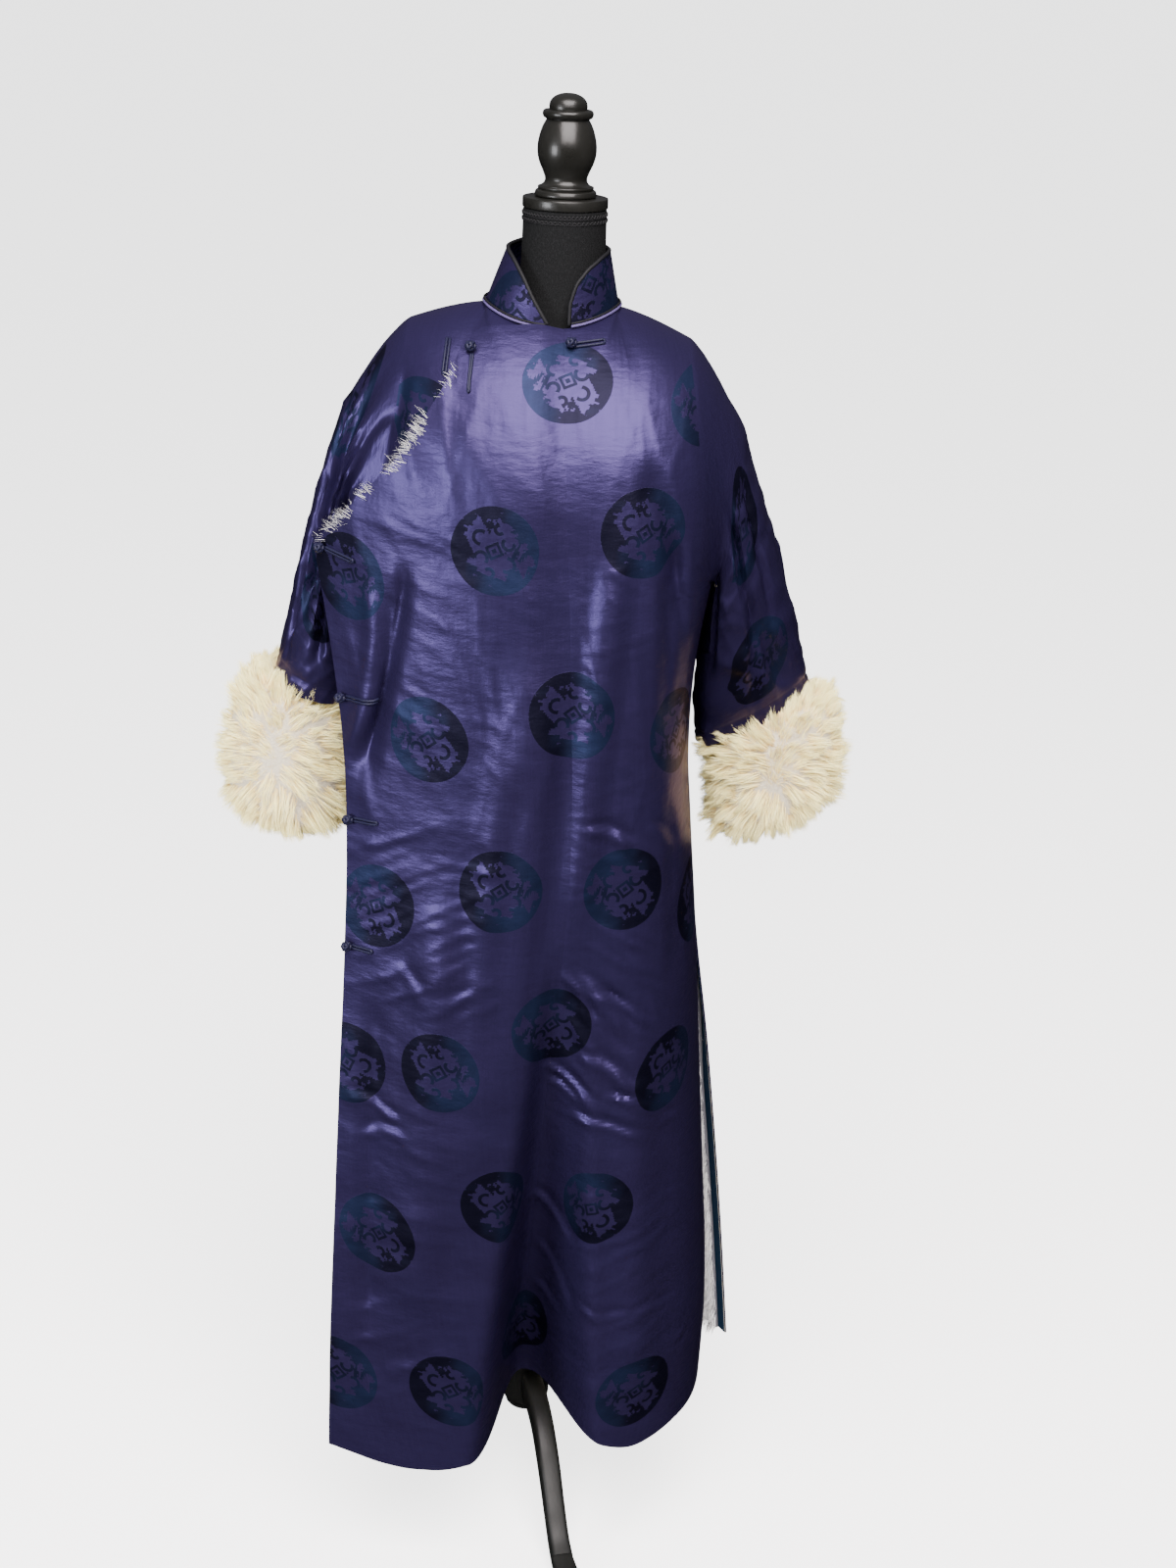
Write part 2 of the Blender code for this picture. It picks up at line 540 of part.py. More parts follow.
def turned(name, outline, material, segments=WOOD_SEGMENTS):
    """A turned piece from its outline of radius and height, listed from the top down."""
    mesh = bpy.data.meshes.new(name)
    points = [(radius, 0.0, z) for radius, z in outline]
    mesh.from_pydata(points, [(i, i + 1) for i in range(len(points) - 1)], [])
    piece = add_object(name, mesh, material)
    screw = piece.modifiers.new("Turn", "SCREW")
    screw.steps = segments
    screw.render_steps = segments
    screw.use_merge_vertices = True
    screw.merge_threshold = 0.0001
    return piece


for old in list(bpy.data.objects):
    bpy.data.objects.remove(old, do_unlink=True)
collection = bpy.data.collections.new("robe_on_form")
bpy.context.scene.collection.children.link(collection)

silk = make_material("blue_violet_silk", (0.060, 0.052, 0.130), 0.38)
fur = make_material("cream_fur", (0.80, 0.74, 0.60), 0.95)
teal_silk = make_material("teal_facing", (0.020, 0.050, 0.075), 0.45)
black_cord = make_material("black_cord", (0.010, 0.010, 0.014), 0.60)
jersey = make_material("black_jersey", (0.012, 0.012, 0.014), 0.85)
wood = make_material("turned_wood", (0.030, 0.030, 0.027), 0.35)
stand_wood = make_material("dark_stand_wood", (0.016, 0.017, 0.018), 0.45)

# Columns from the seam to the side, closer together towards the side. The first is narrow, so that the
# walls on both sides of a seam end square to the same surface.
steps = np.concatenate([[0.0, SEAM_COLUMN], np.linspace(0, 1, COLUMNS)[1:]])
part = 0.5 * steps + 0.5 * np.sin(0.5 * np.pi * steps)
underarm_row = int(np.searchsorted(levels_below(), UNDERARM - 1e-6))
slit_row = int(np.searchsorted(levels_below(), SLIT_TOP - 1e-6))

# Wearer's left half: front and back in one over the shoulder
left_front = panel_grid(part, lambda z: section("seam", z) + GAP / 2, lambda z: section("right", z),
                        0.004 + GAP / 2, TIP_RIGHT[0], front_y)
left_back = panel_grid(part, lambda z: GAP / 2 + 0 * z, lambda z: back_section("right", z),
                       GAP / 2, TIP_RIGHT[0], back_y, back=True)


def armhole(j, i):
    return j >= underarm_row and i >= ARM_COLUMN


grid_wall("body_left", [(left_front, armhole, False), (left_back, armhole, True)], silk)

# Wearer's right half: the back over the shoulder, with the narrow under front down to the slit top
right_back = panel_grid(part, lambda z: -GAP / 2 + 0 * z, lambda z: back_section("left", z),
                        -GAP / 2, TIP_LEFT[0], back_y, back=True)
under_front = panel_grid(part, lambda z: UNDER_FRONT_X + 0 * z, lambda z: section("left", z),
                         UNDER_FRONT_X, TIP_LEFT[0], under_y, first_level=SLIT_TOP)
under_armhole_row = underarm_row - slit_row


def under_armhole(j, i):
    return j >= under_armhole_row and i >= ARM_COLUMN


grid_wall("body_right", [(right_back, armhole, False), (under_front, under_armhole, True)], silk)

# Front overlap: rows up to its corner, then columns that slant up to its curved edge
overlap_part = np.concatenate([[0.0, SEAM_COLUMN], np.linspace(0, 1, OVERLAP_COLUMNS)[1:]])[None, :]
levels = levels_below()
levels = np.concatenate([levels[levels < OVERLAP_CORNER - 0.02], [OVERLAP_CORNER]])[:, None]
seam_x = section("seam", levels) - GAP / 2
low_x = seam_x + (section("edge_x", levels) - seam_x) * overlap_part
low_z = hem_height(low_x, levels + 0 * low_x)
edge_lengths = np.concatenate([[0.0], np.cumsum([math.hypot(b.x - a.x, b.z - a.z)
                                                 for a, b in zip(OVERLAP_EDGE, OVERLAP_EDGE[1:])])])
edge_share = overlap_part[0] * edge_lengths[-1]
edge_x = smooth_curve(edge_share, edge_lengths, [point.x for point in OVERLAP_EDGE])
edge_z = smooth_curve(edge_share, edge_lengths, [point.z for point in OVERLAP_EDGE])
edge_x[0] -= GAP / 2
climb = np.linspace(0, 1, DOME_ROWS + 2)[1:, None]
high_z = low_z[-1] + (edge_z - low_z[-1]) * climb
straight_x = low_x[-1] + (edge_x - low_x[-1]) * climb
on_seam = section("seam", high_z[:, :1]) - GAP / 2 - straight_x[:, :1]
high_x = straight_x + on_seam * (1 - overlap_part) ** 3
all_x = np.concatenate([low_x, high_x])
all_z = np.concatenate([low_z, high_z])
overlap = overlap_points(all_x, all_z)
grid_wall("front_overlap", [(overlap, lambda j, i: False, True)], silk)


def sleeve_rings(front, back, row, rings, folds, outwards):
    """Rings of a sleeve: the armhole's loop moved out by the gap, then rings of its table."""
    top = front.shape[0] - 1
    back_row = back.shape[0] - 1 - (top - row)
    down = [front[j, ARM_COLUMN] for j in range(top, row, -1)]
    across = [front[row, i] for i in range(ARM_COLUMN, COLUMNS + 1)]
    return_across = [back[back_row, i] for i in range(COLUMNS - 1, ARM_COLUMN - 1, -1)]
    up = [back[j, ARM_COLUMN] for j in range(back_row + 1, back.shape[0] - 1)]
    loop = np.array(down + across + return_across + up)
    middle = 0.5 * (loop.max(axis=0) + loop.min(axis=0))
    half = 0.5 * (loop.max(axis=0) - loop.min(axis=0))
    turn = np.arctan2(-(loop[:, 1] - middle[1]) / half[1], (loop[:, 2] - middle[2]) / half[2])
    turn = np.unwrap(turn)
    first = loop + np.array([outwards * GAP, 0.0, 0.0])
    first[len(down):len(down) + len(across) + len(return_across), 2] += GAP
    keys = np.linspace(0, 1, len(rings))
    places = np.linspace(0, 1, SLEEVE_PLACES)
    shape = [first, first + np.array([outwards * SLEEVE_START, 0.0, 0.0])]
    for place in places:
        ring = [smooth_curve(place, keys, [getattr(r, key) for r in rings]) for key in SleeveRing._fields]
        outer = np.array([ring[0], 0.0, ring[1]])
        inner = np.array([ring[2], 0.0, ring[3]])
        centre = 0.5 * (outer + inner) + np.array([0.0, ring[5], 0.0])
        across_axis = 0.5 * (outer - inner)
        degrees = np.degrees(turn) % 360.0
        sink = np.zeros(len(turn))
        for fold in folds:
            line = fold.turn + fold.slant * place
            apart = (degrees - line + 180.0) % 360.0 - 180.0
            sink += (fold.depth * np.cos(0.5 * np.pi * np.clip(apart / fold.half_width, -1, 1)) ** 2
                     * ramp((place - fold.start) / 0.2) * ramp((fold.end - place) / 0.2))
        scale = 1 - sink / 0.075
        shape.append(centre + (np.cos(turn) * scale)[:, None] * across_axis
                     + (np.sin(turn) * scale)[:, None] * np.array([0.0, -ring[4], 0.0]))
    shape.append(shape[-1] + SLEEVE_START * end_direction(rings[-1]))
    return np.array(shape)


def end_direction(ring):
    """Unit vector square to a sleeve's last ring, out of the sleeve."""
    across_x = ring.outer_x - ring.inner_x
    across_z = ring.outer_z - ring.inner_z
    direction = np.array([across_z, 0.0, -across_x]) / math.hypot(across_x, across_z)
    return direction * -np.sign(direction[2])


def sleeve(name, rings, flip):
    closed = np.concatenate([rings, rings[:, :1]], axis=1)
    return grid_wall(name, [(closed, lambda j, i: False, flip)], silk)


sleeve_left = sleeve_rings(left_front, left_back, underarm_row, SLEEVE_RIGHT_OF_VIEW, SLEEVE_FOLDS_RIGHT, 1.0)
sleeve("sleeve_left", sleeve_left, False)
sleeve_right = sleeve_rings(under_front, right_back, under_armhole_row, SLEEVE_LEFT_OF_VIEW,
                            SLEEVE_FOLDS_LEFT, -1.0)
sleeve("sleeve_right", sleeve_right, True)


def cuff(name, sleeve_end, past, rings, flip):
    """A thick ring of fur: down its rounded outside and back up through its mouth."""
    outer = np.array([sleeve_end.outer_x, sleeve_end.outer_z])
    inner = np.array([sleeve_end.inner_x, sleeve_end.inner_z])
    axis = (outer - inner) / np.linalg.norm(outer - inner)
    down = end_direction(sleeve_end)[[0, 2]] * (SLEEVE_START + GAP)
    outer = outer + axis * past.past_outer + down
    inner = inner - axis * past.past_inner + down
    top = CuffRing(*outer, *inner, sleeve_end.half_depth + past.past_depth, sleeve_end.y)
    rings = [top] + rings
    turns = np.linspace(0, 2 * np.pi, CUFF_SEGMENTS, endpoint=False)
    shape = []
    for ring, share in [(r, 1.0) for r in rings] + [(r, CUFF_BORE) for r in rings[::-1]]:
        centre = np.array([0.5 * (ring.outer_x + ring.inner_x), ring.y, 0.5 * (ring.outer_z + ring.inner_z)])
        half = 0.5 * share * np.array([ring.outer_x - ring.inner_x, 0.0, ring.outer_z - ring.inner_z])
        depth = np.array([0.0, -share * ring.half_depth, 0.0])
        shape.append(centre + np.cos(turns)[:, None] * half + np.sin(turns)[:, None] * depth)
    return loft(name, shape, fur, closed=True, flip=flip)


cuff("fur_cuff_left", SLEEVE_RIGHT_OF_VIEW[-1], CUFF_TOP_RIGHT_OF_VIEW, CUFF_RIGHT_OF_VIEW, False)
cuff("fur_cuff_right", SLEEVE_LEFT_OF_VIEW[-1], CUFF_TOP_LEFT_OF_VIEW, CUFF_LEFT_OF_VIEW, True)

# Standing collar, with its wall inwards from the outer face
turns = np.radians(smooth_curve(np.linspace(0, 1, COLLAR_COLUMNS), np.linspace(0, 1, len(COLLAR)),
                                [point.turn for point in COLLAR]))
heights = smooth_curve(-np.degrees(turns), [-point.turn for point in COLLAR],
                       [point.height for point in COLLAR])


def collar_point(turn, height, out=0.0, lift=0.0):
    """A point of the collar: the neck hole's ellipse leaning in to the collar's top ellipse."""
    share = np.clip(height / 0.056, -0.2, 1.2)
    front = np.cos(turn) > 0
    base_depth = np.where(front, NECK_FRONT, NECK_BACK)
    half_width = NECK_HALF_WIDTH + 0.0015 + (COLLAR_TOP_HALF_WIDTH - NECK_HALF_WIDTH) * share + out
    half_depth = base_depth + 0.0015 + (COLLAR_TOP_DEPTH - base_depth) * share + out
    x = NECK_X + (COLLAR_TOP_X - NECK_X) * share + half_width * np.sin(turn)
    y = -half_depth * np.cos(turn)
    middle = np.where(front, NECK_FRONT_Z, NECK_BACK_Z)
    z = middle + (NECK_SIDE_Z - middle) * np.sin(turn) ** 2 + height + 0.0008 + lift
    return np.stack([x, y, z], axis=-1)


collar_share = np.linspace(0, 1, COLLAR_ROWS)[:, None]
collar = collar_point(turns[None, :] + 0 * collar_share, heights[None, :] * collar_share)
grid_wall("collar", [(collar, lambda j, i: False, True)], silk, thickness=COLLAR_WALL)

# Black piping along the collar's free edge and a cord at its base
inset = -0.5 * COLLAR_WALL


def off_the_edge(points, around):
    """Move points on the collar's edge off it, square to the edge and to the neck's outward direction."""
    along = np.gradient(points, axis=0)
    outward = np.stack([np.sin(around), -np.cos(around), 0.25 + 0 * around], axis=-1)
    away = np.cross(outward, along)
    away /= np.linalg.norm(away, axis=1, keepdims=True)
    return points + away * np.sign(away[:, 2:]) * (PIPING + GAP + 0.0003)


edge = off_the_edge(collar_point(turns, heights, out=inset), turns)
end_turn = turns[-1] - (PIPING + GAP) / NECK_FRONT
end_heights = heights[-1] * np.array([0.85, 0.6, 0.35, 0.12])
edge = np.concatenate([edge, collar_point(end_turn + 0 * end_heights, end_heights, out=inset)])
cord("collar_edge_piping", edge, PIPING, black_cord)
base = collar_point(turns, 0 * heights, out=PIPING + GAP + 0.0004, lift=PIPING + 0.0002)
cord("collar_base_piping", base, PIPING, black_cord)

# Facing and fur strips on the inner side of the back panel's edge at the open slit
def back_strip(start, width, depth, columns):
    """Points of a strip inside the back panel, measured along the panel's own rows from their free ends."""
    grid = []
    for row in left_back[:slit_row]:
        plan = row[::-1, :2]
        lengths = np.concatenate([[0.0], np.cumsum(np.linalg.norm(np.diff(plan, axis=0), axis=1))])
        at = start + np.linspace(0, width, columns)
        place = np.stack([np.interp(at, lengths, plan[:, k]) for k in range(2)], axis=-1)
        ahead = np.stack([np.interp(at + 0.001, lengths, plan[:, k]) for k in range(2)], axis=-1)
        along = (ahead - place) / np.linalg.norm(ahead - place, axis=1, keepdims=True)
        inward = np.stack([-along[:, 1], along[:, 0]], axis=-1)
        grid.append(np.column_stack([place + inward * depth, np.full(columns, row[-1, 2])]))
    return np.array(grid)


facing = back_strip(0.002, FACING_WIDTH, CLOTH + GAP, 4)
grid_wall("slit_facing", [(facing, lambda j, i: False, True)], teal_silk, thickness=0.0012, offset=1.0)
slit_fur = back_strip(FACING_WIDTH + 0.003, SLIT_FUR_WIDTH, CLOTH + GAP, 5)
grid_wall("slit_fur", [(slit_fur, lambda j, i: False, True)], fur, thickness=SLIT_FUR_THICKNESS, offset=1.0)

# Fur along the slanting edge, between the overlap and the under front
fur_columns = slice(6, -2)
edge_points = overlap[-1, fur_columns]
run = edge_points - overlap[-2, fur_columns]
run_length = np.linalg.norm(run, axis=1, keepdims=True)
edge_normals = front_normal(edge_points[:, 0], edge_points[:, 2])
inside = np.minimum(EDGE_FUR_INSIDE, 0.9 * run_length)
strip = np.array([edge_points + run / run_length * distance - edge_normals * EDGE_FUR_DEPTH
                  for distance in (-inside, -0.5 * inside, 0.0, EDGE_FUR_OUTSIDE)])
grid_wall("edge_fur", [(strip, lambda j, i: False, True)], fur, thickness=EDGE_FUR_THICKNESS)


def strap(name, start, end, surface, rest=STRAP_REST):
    """A flat strap whose long edges follow the robe's facets from one place to another."""
    share = np.linspace(0, 1, STRAP_PLACES)
    x = start[0] + (end[0] - start[0]) * share
    z = start[1] + (end[1] - start[1]) * share
    aside = 0.5 * STRAP_WIDTH * np.array([start[1] - end[1], end[0] - start[0]])
    aside /= math.hypot(end[0] - start[0], end[1] - start[1])
    low_near, high_near = strap_edge(x - aside[0], z - aside[1], surface, rest)
    low_far, high_far = strap_edge(x + aside[0], z + aside[1], surface, rest)
    return loft(name, np.stack([low_near, low_far, high_far, high_near], axis=1), black_cord)


def strap_edge(x, z, surface, rest):
    """The lower and the upper points of a strap's long edge."""
    points, normals = surface(x, z)
    return points + normals * rest, points + normals * (rest + STRAP_THICKNESS)


def facets(points):
    """The facets of a panel's outer face, to lay straps on."""
    rows, columns = points.shape[:2]
    faces = [(j * columns + i, j * columns + i + 1, (j + 1) * columns + i + 1, (j + 1) * columns + i)
             for j in range(rows - 1) for i in range(columns - 1)]
    return BVHTree.FromPolygons([Vector(point) for point in points.reshape(-1, 3)], faces)


def on_facets(tree):
    """A surface function: the places on the facets straight behind (x, z), with the facets' normals."""
    def surface(x, z):
        hits = [tree.ray_cast(Vector((a, -1.0, b)), Vector((0.0, 1.0, 0.0))) for a, b in zip(x, z)]
        normals = np.array([tuple(hit[1]) for hit in hits])
        normals *= -np.sign(normals[:, 1:2])
        return np.array([tuple(hit[0]) for hit in hits]), normals
    return surface


overlap_surface = on_facets(facets(overlap))
left_surface = on_facets(facets(left_front))
under_surface = on_facets(facets(under_front))

for fastener in FASTENERS:
    surface = left_surface if fastener.name == "neck" else overlap_surface
    knot = np.array([fastener.knot_x, fastener.knot_z])
    far = np.array([fastener.strap_x, fastener.strap_z])
    direction = (far - knot) / np.linalg.norm(far - knot)
    near = knot + direction * (KNOT_RADIUS + 0.0006)
    strap("strap_" + fastener.name, near, far, surface)
    place, normal = surface(np.array([knot[0]]), np.array([knot[1]]))
    centre = place[0] + normal[0] * (KNOT_RADIUS + KNOT_REST)
    ball = bmesh.new()
    bmesh.ops.create_uvsphere(ball, u_segments=KNOT_SEGMENTS[0], v_segments=KNOT_SEGMENTS[1],
                               radius=KNOT_RADIUS)
    mesh = bpy.data.meshes.new("knot_" + fastener.name)
    ball.to_mesh(mesh)
    ball.free()
    mesh.shade_smooth()
    piece = add_object("knot_" + fastener.name, mesh, black_cord)
    piece.location = centre
strap("loose_loop", LOOSE_LOOP[:2], LOOSE_LOOP[2:], under_surface, LOOSE_LOOP_REST)

# Dress form: a smooth limbless torso and neck
form_heights = np.concatenate([np.linspace(0.700, 1.35, 11), np.linspace(1.375, 1.470, 6),
                               np.linspace(1.495, 1.5885, 3)])
form_turns = np.linspace(0, 2 * np.pi, FORM_SEGMENTS, endpoint=False)
rings = []
for z in form_heights:
    half_width = table(FORM, "half_width", z)
    half_depth = table(FORM, "half_depth", z)
    y = table(FORM, "y", z)
    power = 0.85 if z < 1.42 else 1.0
    cosine = np.sign(np.cos(form_turns)) * np.abs(np.cos(form_turns)) ** power
    sine = np.sign(np.sin(form_turns)) * np.abs(np.sin(form_turns)) ** power
    rings.append(np.stack([half_width * cosine, y + half_depth * sine, z + 0 * cosine], axis=-1))
loft("dress_form", rings, jersey)
low, high = DISC_HEIGHTS
turned("neck_cap", [(0.0, high), (DISC_RADIUS - 0.0012, high), (DISC_RADIUS, high - 0.0012),
                    (DISC_RADIUS, low + 0.0012), (DISC_RADIUS - 0.0012, low), (0.0, low)], wood)
turned("finial", FINIAL, wood)
pole_low = HUB_HEIGHTS[1] + GAP
pole_high = FORM[0].z - GAP
turned("pole", [(0.0, pole_high), (POLE_RADIUS, pole_high), (POLE_RADIUS, pole_low), (0.0, pole_low)],
       stand_wood, 16)
turned("hub", HUB, stand_wood, 20)


def leg(name, azimuth):
    """A curved leg of rounded square section that ends on a round flat foot."""
    out = np.array([math.sin(math.radians(azimuth)), -math.cos(math.radians(azimuth)), 0.0])
    beside = np.array([-out[1], out[0], 0.0])
    path = np.array([(point.out, point.z) for point in LEG])
    heading = np.gradient(path, axis=0)
    heading /= np.linalg.norm(heading, axis=1, keepdims=True)
    heading[0] = (1.0, 0.0)
    corner = 0.30
    outline = [(1, corner), (corner, 1), (-corner, 1), (-1, corner), (-1, -corner), (-corner, -1),
               (corner, -1), (1, -corner)]
    rings = []
    for point, direction in zip(LEG, heading):
        centre = out * point.out + np.array([0.0, 0.0, point.z])
        up = out * -direction[1] + np.array([0.0, 0.0, direction[0]])
        rings.append([centre + beside * u * 0.5 * point.width + up * v * 0.5 * point.thickness
                      for u, v in outline])
    for height in (FOOT_HEIGHT, 0.0):
        centre = out * FOOT_REACH + np.array([0.0, 0.0, height])
        turn_in = 0.92 if height else 1.0
        rings.append([centre + (beside * math.cos(a) + out * math.sin(a)) * FOOT_RADIUS * turn_in
                      for a in [math.atan2(v, u) for u, v in outline]])
    return loft(name, rings, stand_wood)


for place, azimuth in (("front", 0.0), ("right", 120.0), ("left", 240.0)):
    leg("leg_" + place, FRONT_LEG_AZIMUTH + azimuth)

# Stand the whole object over the origin
bpy.context.view_layer.update()
graph = bpy.context.evaluated_depsgraph_get()
corners = []
for piece in collection.objects:
    evaluated = piece.evaluated_get(graph)
    mesh = evaluated.to_mesh()
    points = np.empty(len(mesh.vertices) * 3, dtype=np.float32)
    mesh.vertices.foreach_get("co", points)
    points = points.reshape(-1, 3) + np.array(piece.location)
    corners += [points.min(axis=0), points.max(axis=0)]
    evaluated.to_mesh_clear()
corners = np.array(corners)
middle = 0.5 * (corners.min(axis=0) + corners.max(axis=0))
stand = bpy.data.objects.new("robe_on_form", None)
collection.objects.link(stand)
stand.location = (-middle[0], -middle[1], -corners.min(axis=0)[2])
for piece in list(collection.objects):
    if piece is not stand:
        piece.parent = stand
bpy.context.view_layer.update()
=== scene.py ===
"""The looks of a fur-lined silk robe on a tailor's dress form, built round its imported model.

Metres, +Z up, the front faces -Y and the wearer's left is +X. Shapes are worked out from the form's own
axis, and each mesh is set in place on that axis when it is made.
"""
import math

import bmesh
import bpy
import numpy as np
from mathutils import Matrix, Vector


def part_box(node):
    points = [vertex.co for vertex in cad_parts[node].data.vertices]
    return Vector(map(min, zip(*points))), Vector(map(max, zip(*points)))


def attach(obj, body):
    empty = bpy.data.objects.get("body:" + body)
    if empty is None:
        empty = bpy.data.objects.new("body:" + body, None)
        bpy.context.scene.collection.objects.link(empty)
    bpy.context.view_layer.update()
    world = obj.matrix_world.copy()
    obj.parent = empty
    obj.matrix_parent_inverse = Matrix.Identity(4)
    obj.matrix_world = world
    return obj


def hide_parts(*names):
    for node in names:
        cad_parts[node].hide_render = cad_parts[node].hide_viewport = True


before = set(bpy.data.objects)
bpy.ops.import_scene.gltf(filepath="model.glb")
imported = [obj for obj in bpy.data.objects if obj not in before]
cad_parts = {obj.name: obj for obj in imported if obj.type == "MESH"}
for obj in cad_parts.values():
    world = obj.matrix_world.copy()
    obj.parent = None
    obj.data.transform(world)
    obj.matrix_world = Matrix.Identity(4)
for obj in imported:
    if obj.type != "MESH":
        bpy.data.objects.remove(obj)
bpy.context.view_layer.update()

# The stand. A turned hub on three curved legs holds the pole that carries the form. All of it is hardwood,
# sanded, stained black and varnished, with the legs dowelled into the hub.
pole_low, pole_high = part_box("pole")
axis = np.array([0.5 * (pole_low.x + pole_high.x), 0.5 * (pole_low.y + pole_high.y), 0.0])


def stacked(*parts):
    """Arrays of one shape as one array of places, with their values last."""
    return np.stack(parts, axis=-1)


def grid_faces(rows, columns, ring=False, flip=False):
    """Four-cornered faces of a grid of rows and columns; a ring joins its last column to its first."""
    j, i = np.meshgrid(np.arange(rows - 1), np.arange(columns if ring else columns - 1), indexing="ij")
    k = (i + 1) % columns
    low, high = j * columns, (j + 1) * columns
    faces = stacked(low + i, low + k, high + k, high + i).reshape(-1, 4)
    return faces[:, ::-1] if flip else faces


def unit(vectors, tiny=0.0):
    """Vectors divided by their lengths; a tiny number keeps those without length from dividing by 0."""
    return vectors / (np.linalg.norm(vectors, axis=-1, keepdims=True) + tiny)


def turns(count):
    """Angles spread evenly round a full turn."""
    return np.linspace(0, 2 * np.pi, count, endpoint=False)


def run_of(places):
    """Length of a flat outline from its start to each of its places."""
    return np.concatenate([[0], np.cumsum(np.hypot(*np.diff(places, axis=0).T))])


def mend(mesh, apart, outwards=False):
    """Merge a mesh's points that lie together, and turn its faces outwards if it is closed."""
    shape = bmesh.new()
    shape.from_mesh(mesh)
    bmesh.ops.remove_doubles(shape, verts=shape.verts, dist=apart)
    if outwards:
        bmesh.ops.recalc_face_normals(shape, faces=shape.faces)
    shape.to_mesh(mesh)
    shape.free()


def put(name, data):
    """A new object with its data, in the scene."""
    made = bpy.data.objects.new(name, data)
    bpy.context.scene.collection.objects.link(made)
    return made


def make_piece(name, points, faces, finish, slot, maps=None, replaces=(), closed=False, sharp=None):
    """A smooth piece from arrays of points and faces, in place on the form's axis.

    maps holds UV maps by name, with one value for each point or one for each face corner. A closed piece
    has its poles and seams merged and its faces turned outwards, and sharp splits its shading at an angle.
    """
    mesh = bpy.data.meshes.new(name)
    mesh.vertices.add(len(points))
    mesh.vertices.foreach_set("co", (points + axis).astype(np.float32).ravel())
    mesh.loops.add(faces.size)
    mesh.loops.foreach_set("vertex_index", faces.astype(np.int32).ravel())
    mesh.polygons.add(len(faces))
    mesh.polygons.foreach_set("loop_start", np.arange(0, faces.size, faces.shape[1], dtype=np.int32))
    mesh.update(calc_edges=True)
    for map_name, values in (maps or {}).items():
        values = values[faces.ravel()] if len(values) == len(points) else values
        mesh.uv_layers.new(name=map_name).uv.foreach_set("vector", values.astype(np.float32).ravel())
    if closed:
        mend(mesh, 1e-6, outwards=True)
    mesh.shade_smooth()
    if sharp:
        mesh.set_sharp_from_angle(angle=math.radians(sharp))
    mesh.materials.append(finish)
    piece = put(name, mesh)
    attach(piece, "root")
    if replaces:
        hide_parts(*replaces)
    return piece


def grid_piece(name, grid, finish, slot, ring=True, flip=False, maps=None, **settings):
    """A piece from a grid of points, with a value of each map for each of them."""
    maps = {key: values.reshape(-1, 2) for key, values in (maps or {}).items()}
    return make_piece(name, grid.reshape(-1, 3), grid_faces(*grid.shape[:2], ring, flip), finish, slot, maps,
                      **settings)


def smooth_curve(at, knots, values):
    """Cubic through the knots, whose slope at a knot is the central difference there."""
    knots = np.asarray(knots, dtype=float)
    values = np.asarray(values, dtype=float)
    slopes = np.gradient(values, knots)
    at = np.clip(at, knots[0], knots[-1])
    i = np.clip(np.searchsorted(knots, at, side="right") - 1, 0, len(knots) - 2)
    span = knots[i + 1] - knots[i]
    t = (at - knots[i]) / span
    return ((2 * t**3 - 3 * t**2 + 1) * values[i] + (t**3 - 2 * t**2 + t) * span * slopes[i]
            + (3 * t**2 - 2 * t**3) * values[i + 1] + (t**3 - t**2) * span * slopes[i + 1])


def turned(name, spans, finish, slot, node, segments=72):
    """A turned piece: each span of (radius, z) points is a smooth curve, the spans meet at sharp corners,
    and the whole outline is carried round the axis."""
    outline = []
    for span in spans:
        span = np.array(span)
        if len(span) > 2:
            run = run_of(span)
            at = np.linspace(0, run[-1], 6 * len(span))
            span = stacked(smooth_curve(at, run, span[:, 0]), smooth_curve(at, run, span[:, 1]))
        outline.append(span)
    outline = np.concatenate(outline)
    turn = turns(segments)
    radius, z = outline[:, :1], outline[:, 1:]
    grid_piece(name, stacked(radius * np.cos(turn), radius * np.sin(turn), z + 0 * turn), finish, slot,
               replaces=(node,), closed=True, sharp=38)


def set_sockets(tree, node, values):
    """Set a node's input sockets by name or number; a value may be another node's output."""
    for key, value in values.items():
        if isinstance(value, bpy.types.NodeSocket):
            tree.links.new(value, node.inputs[key])
        else:
            node.inputs[key].default_value = value


def add_node(tree, kind, values=None, **settings):
    """A shader node with its settings and its input sockets set."""
    node = tree.nodes.new("ShaderNode" + kind)
    for key, value in settings.items():
        setattr(node, key, value)
    set_sockets(tree, node, values or {})
    return node


def calc(tree, operation, a, b=0.0, c=0.0):
    """One step of arithmetic on values or outputs."""
    return add_node(tree, "Math", {0: a, 1: b, 2: c}, operation=operation).outputs[0]


def noise_of(tree, vector, scale, detail=2.0, **values):
    """Noise about 0.5 at a scale, with this much detail."""
    values = {"Vector": vector, "Scale": scale, "Detail": detail, **values}
    return add_node(tree, "TexNoise", values).outputs["Fac"]


def place_of(tree, uv_map=None):
    """Where a material's points lie: in one of the piece's UV maps, or else on its unturned object."""
    if uv_map:
        return add_node(tree, "UVMap", uv_map=uv_map).outputs[0]
    return add_node(tree, "TexCoord").outputs["Object"]


def blend(tree, share, low, high):
    """A colour between two colours, by a share from 0 to 1."""
    node = add_node(tree, "Mix", data_type="RGBA")
    set_sockets(tree, node, {0: share, 6: low if isinstance(low, bpy.types.NodeSocket) else (*low, 1.0),
                             7: high if isinstance(high, bpy.types.NodeSocket) else (*high, 1.0)})
    return node.outputs[2]


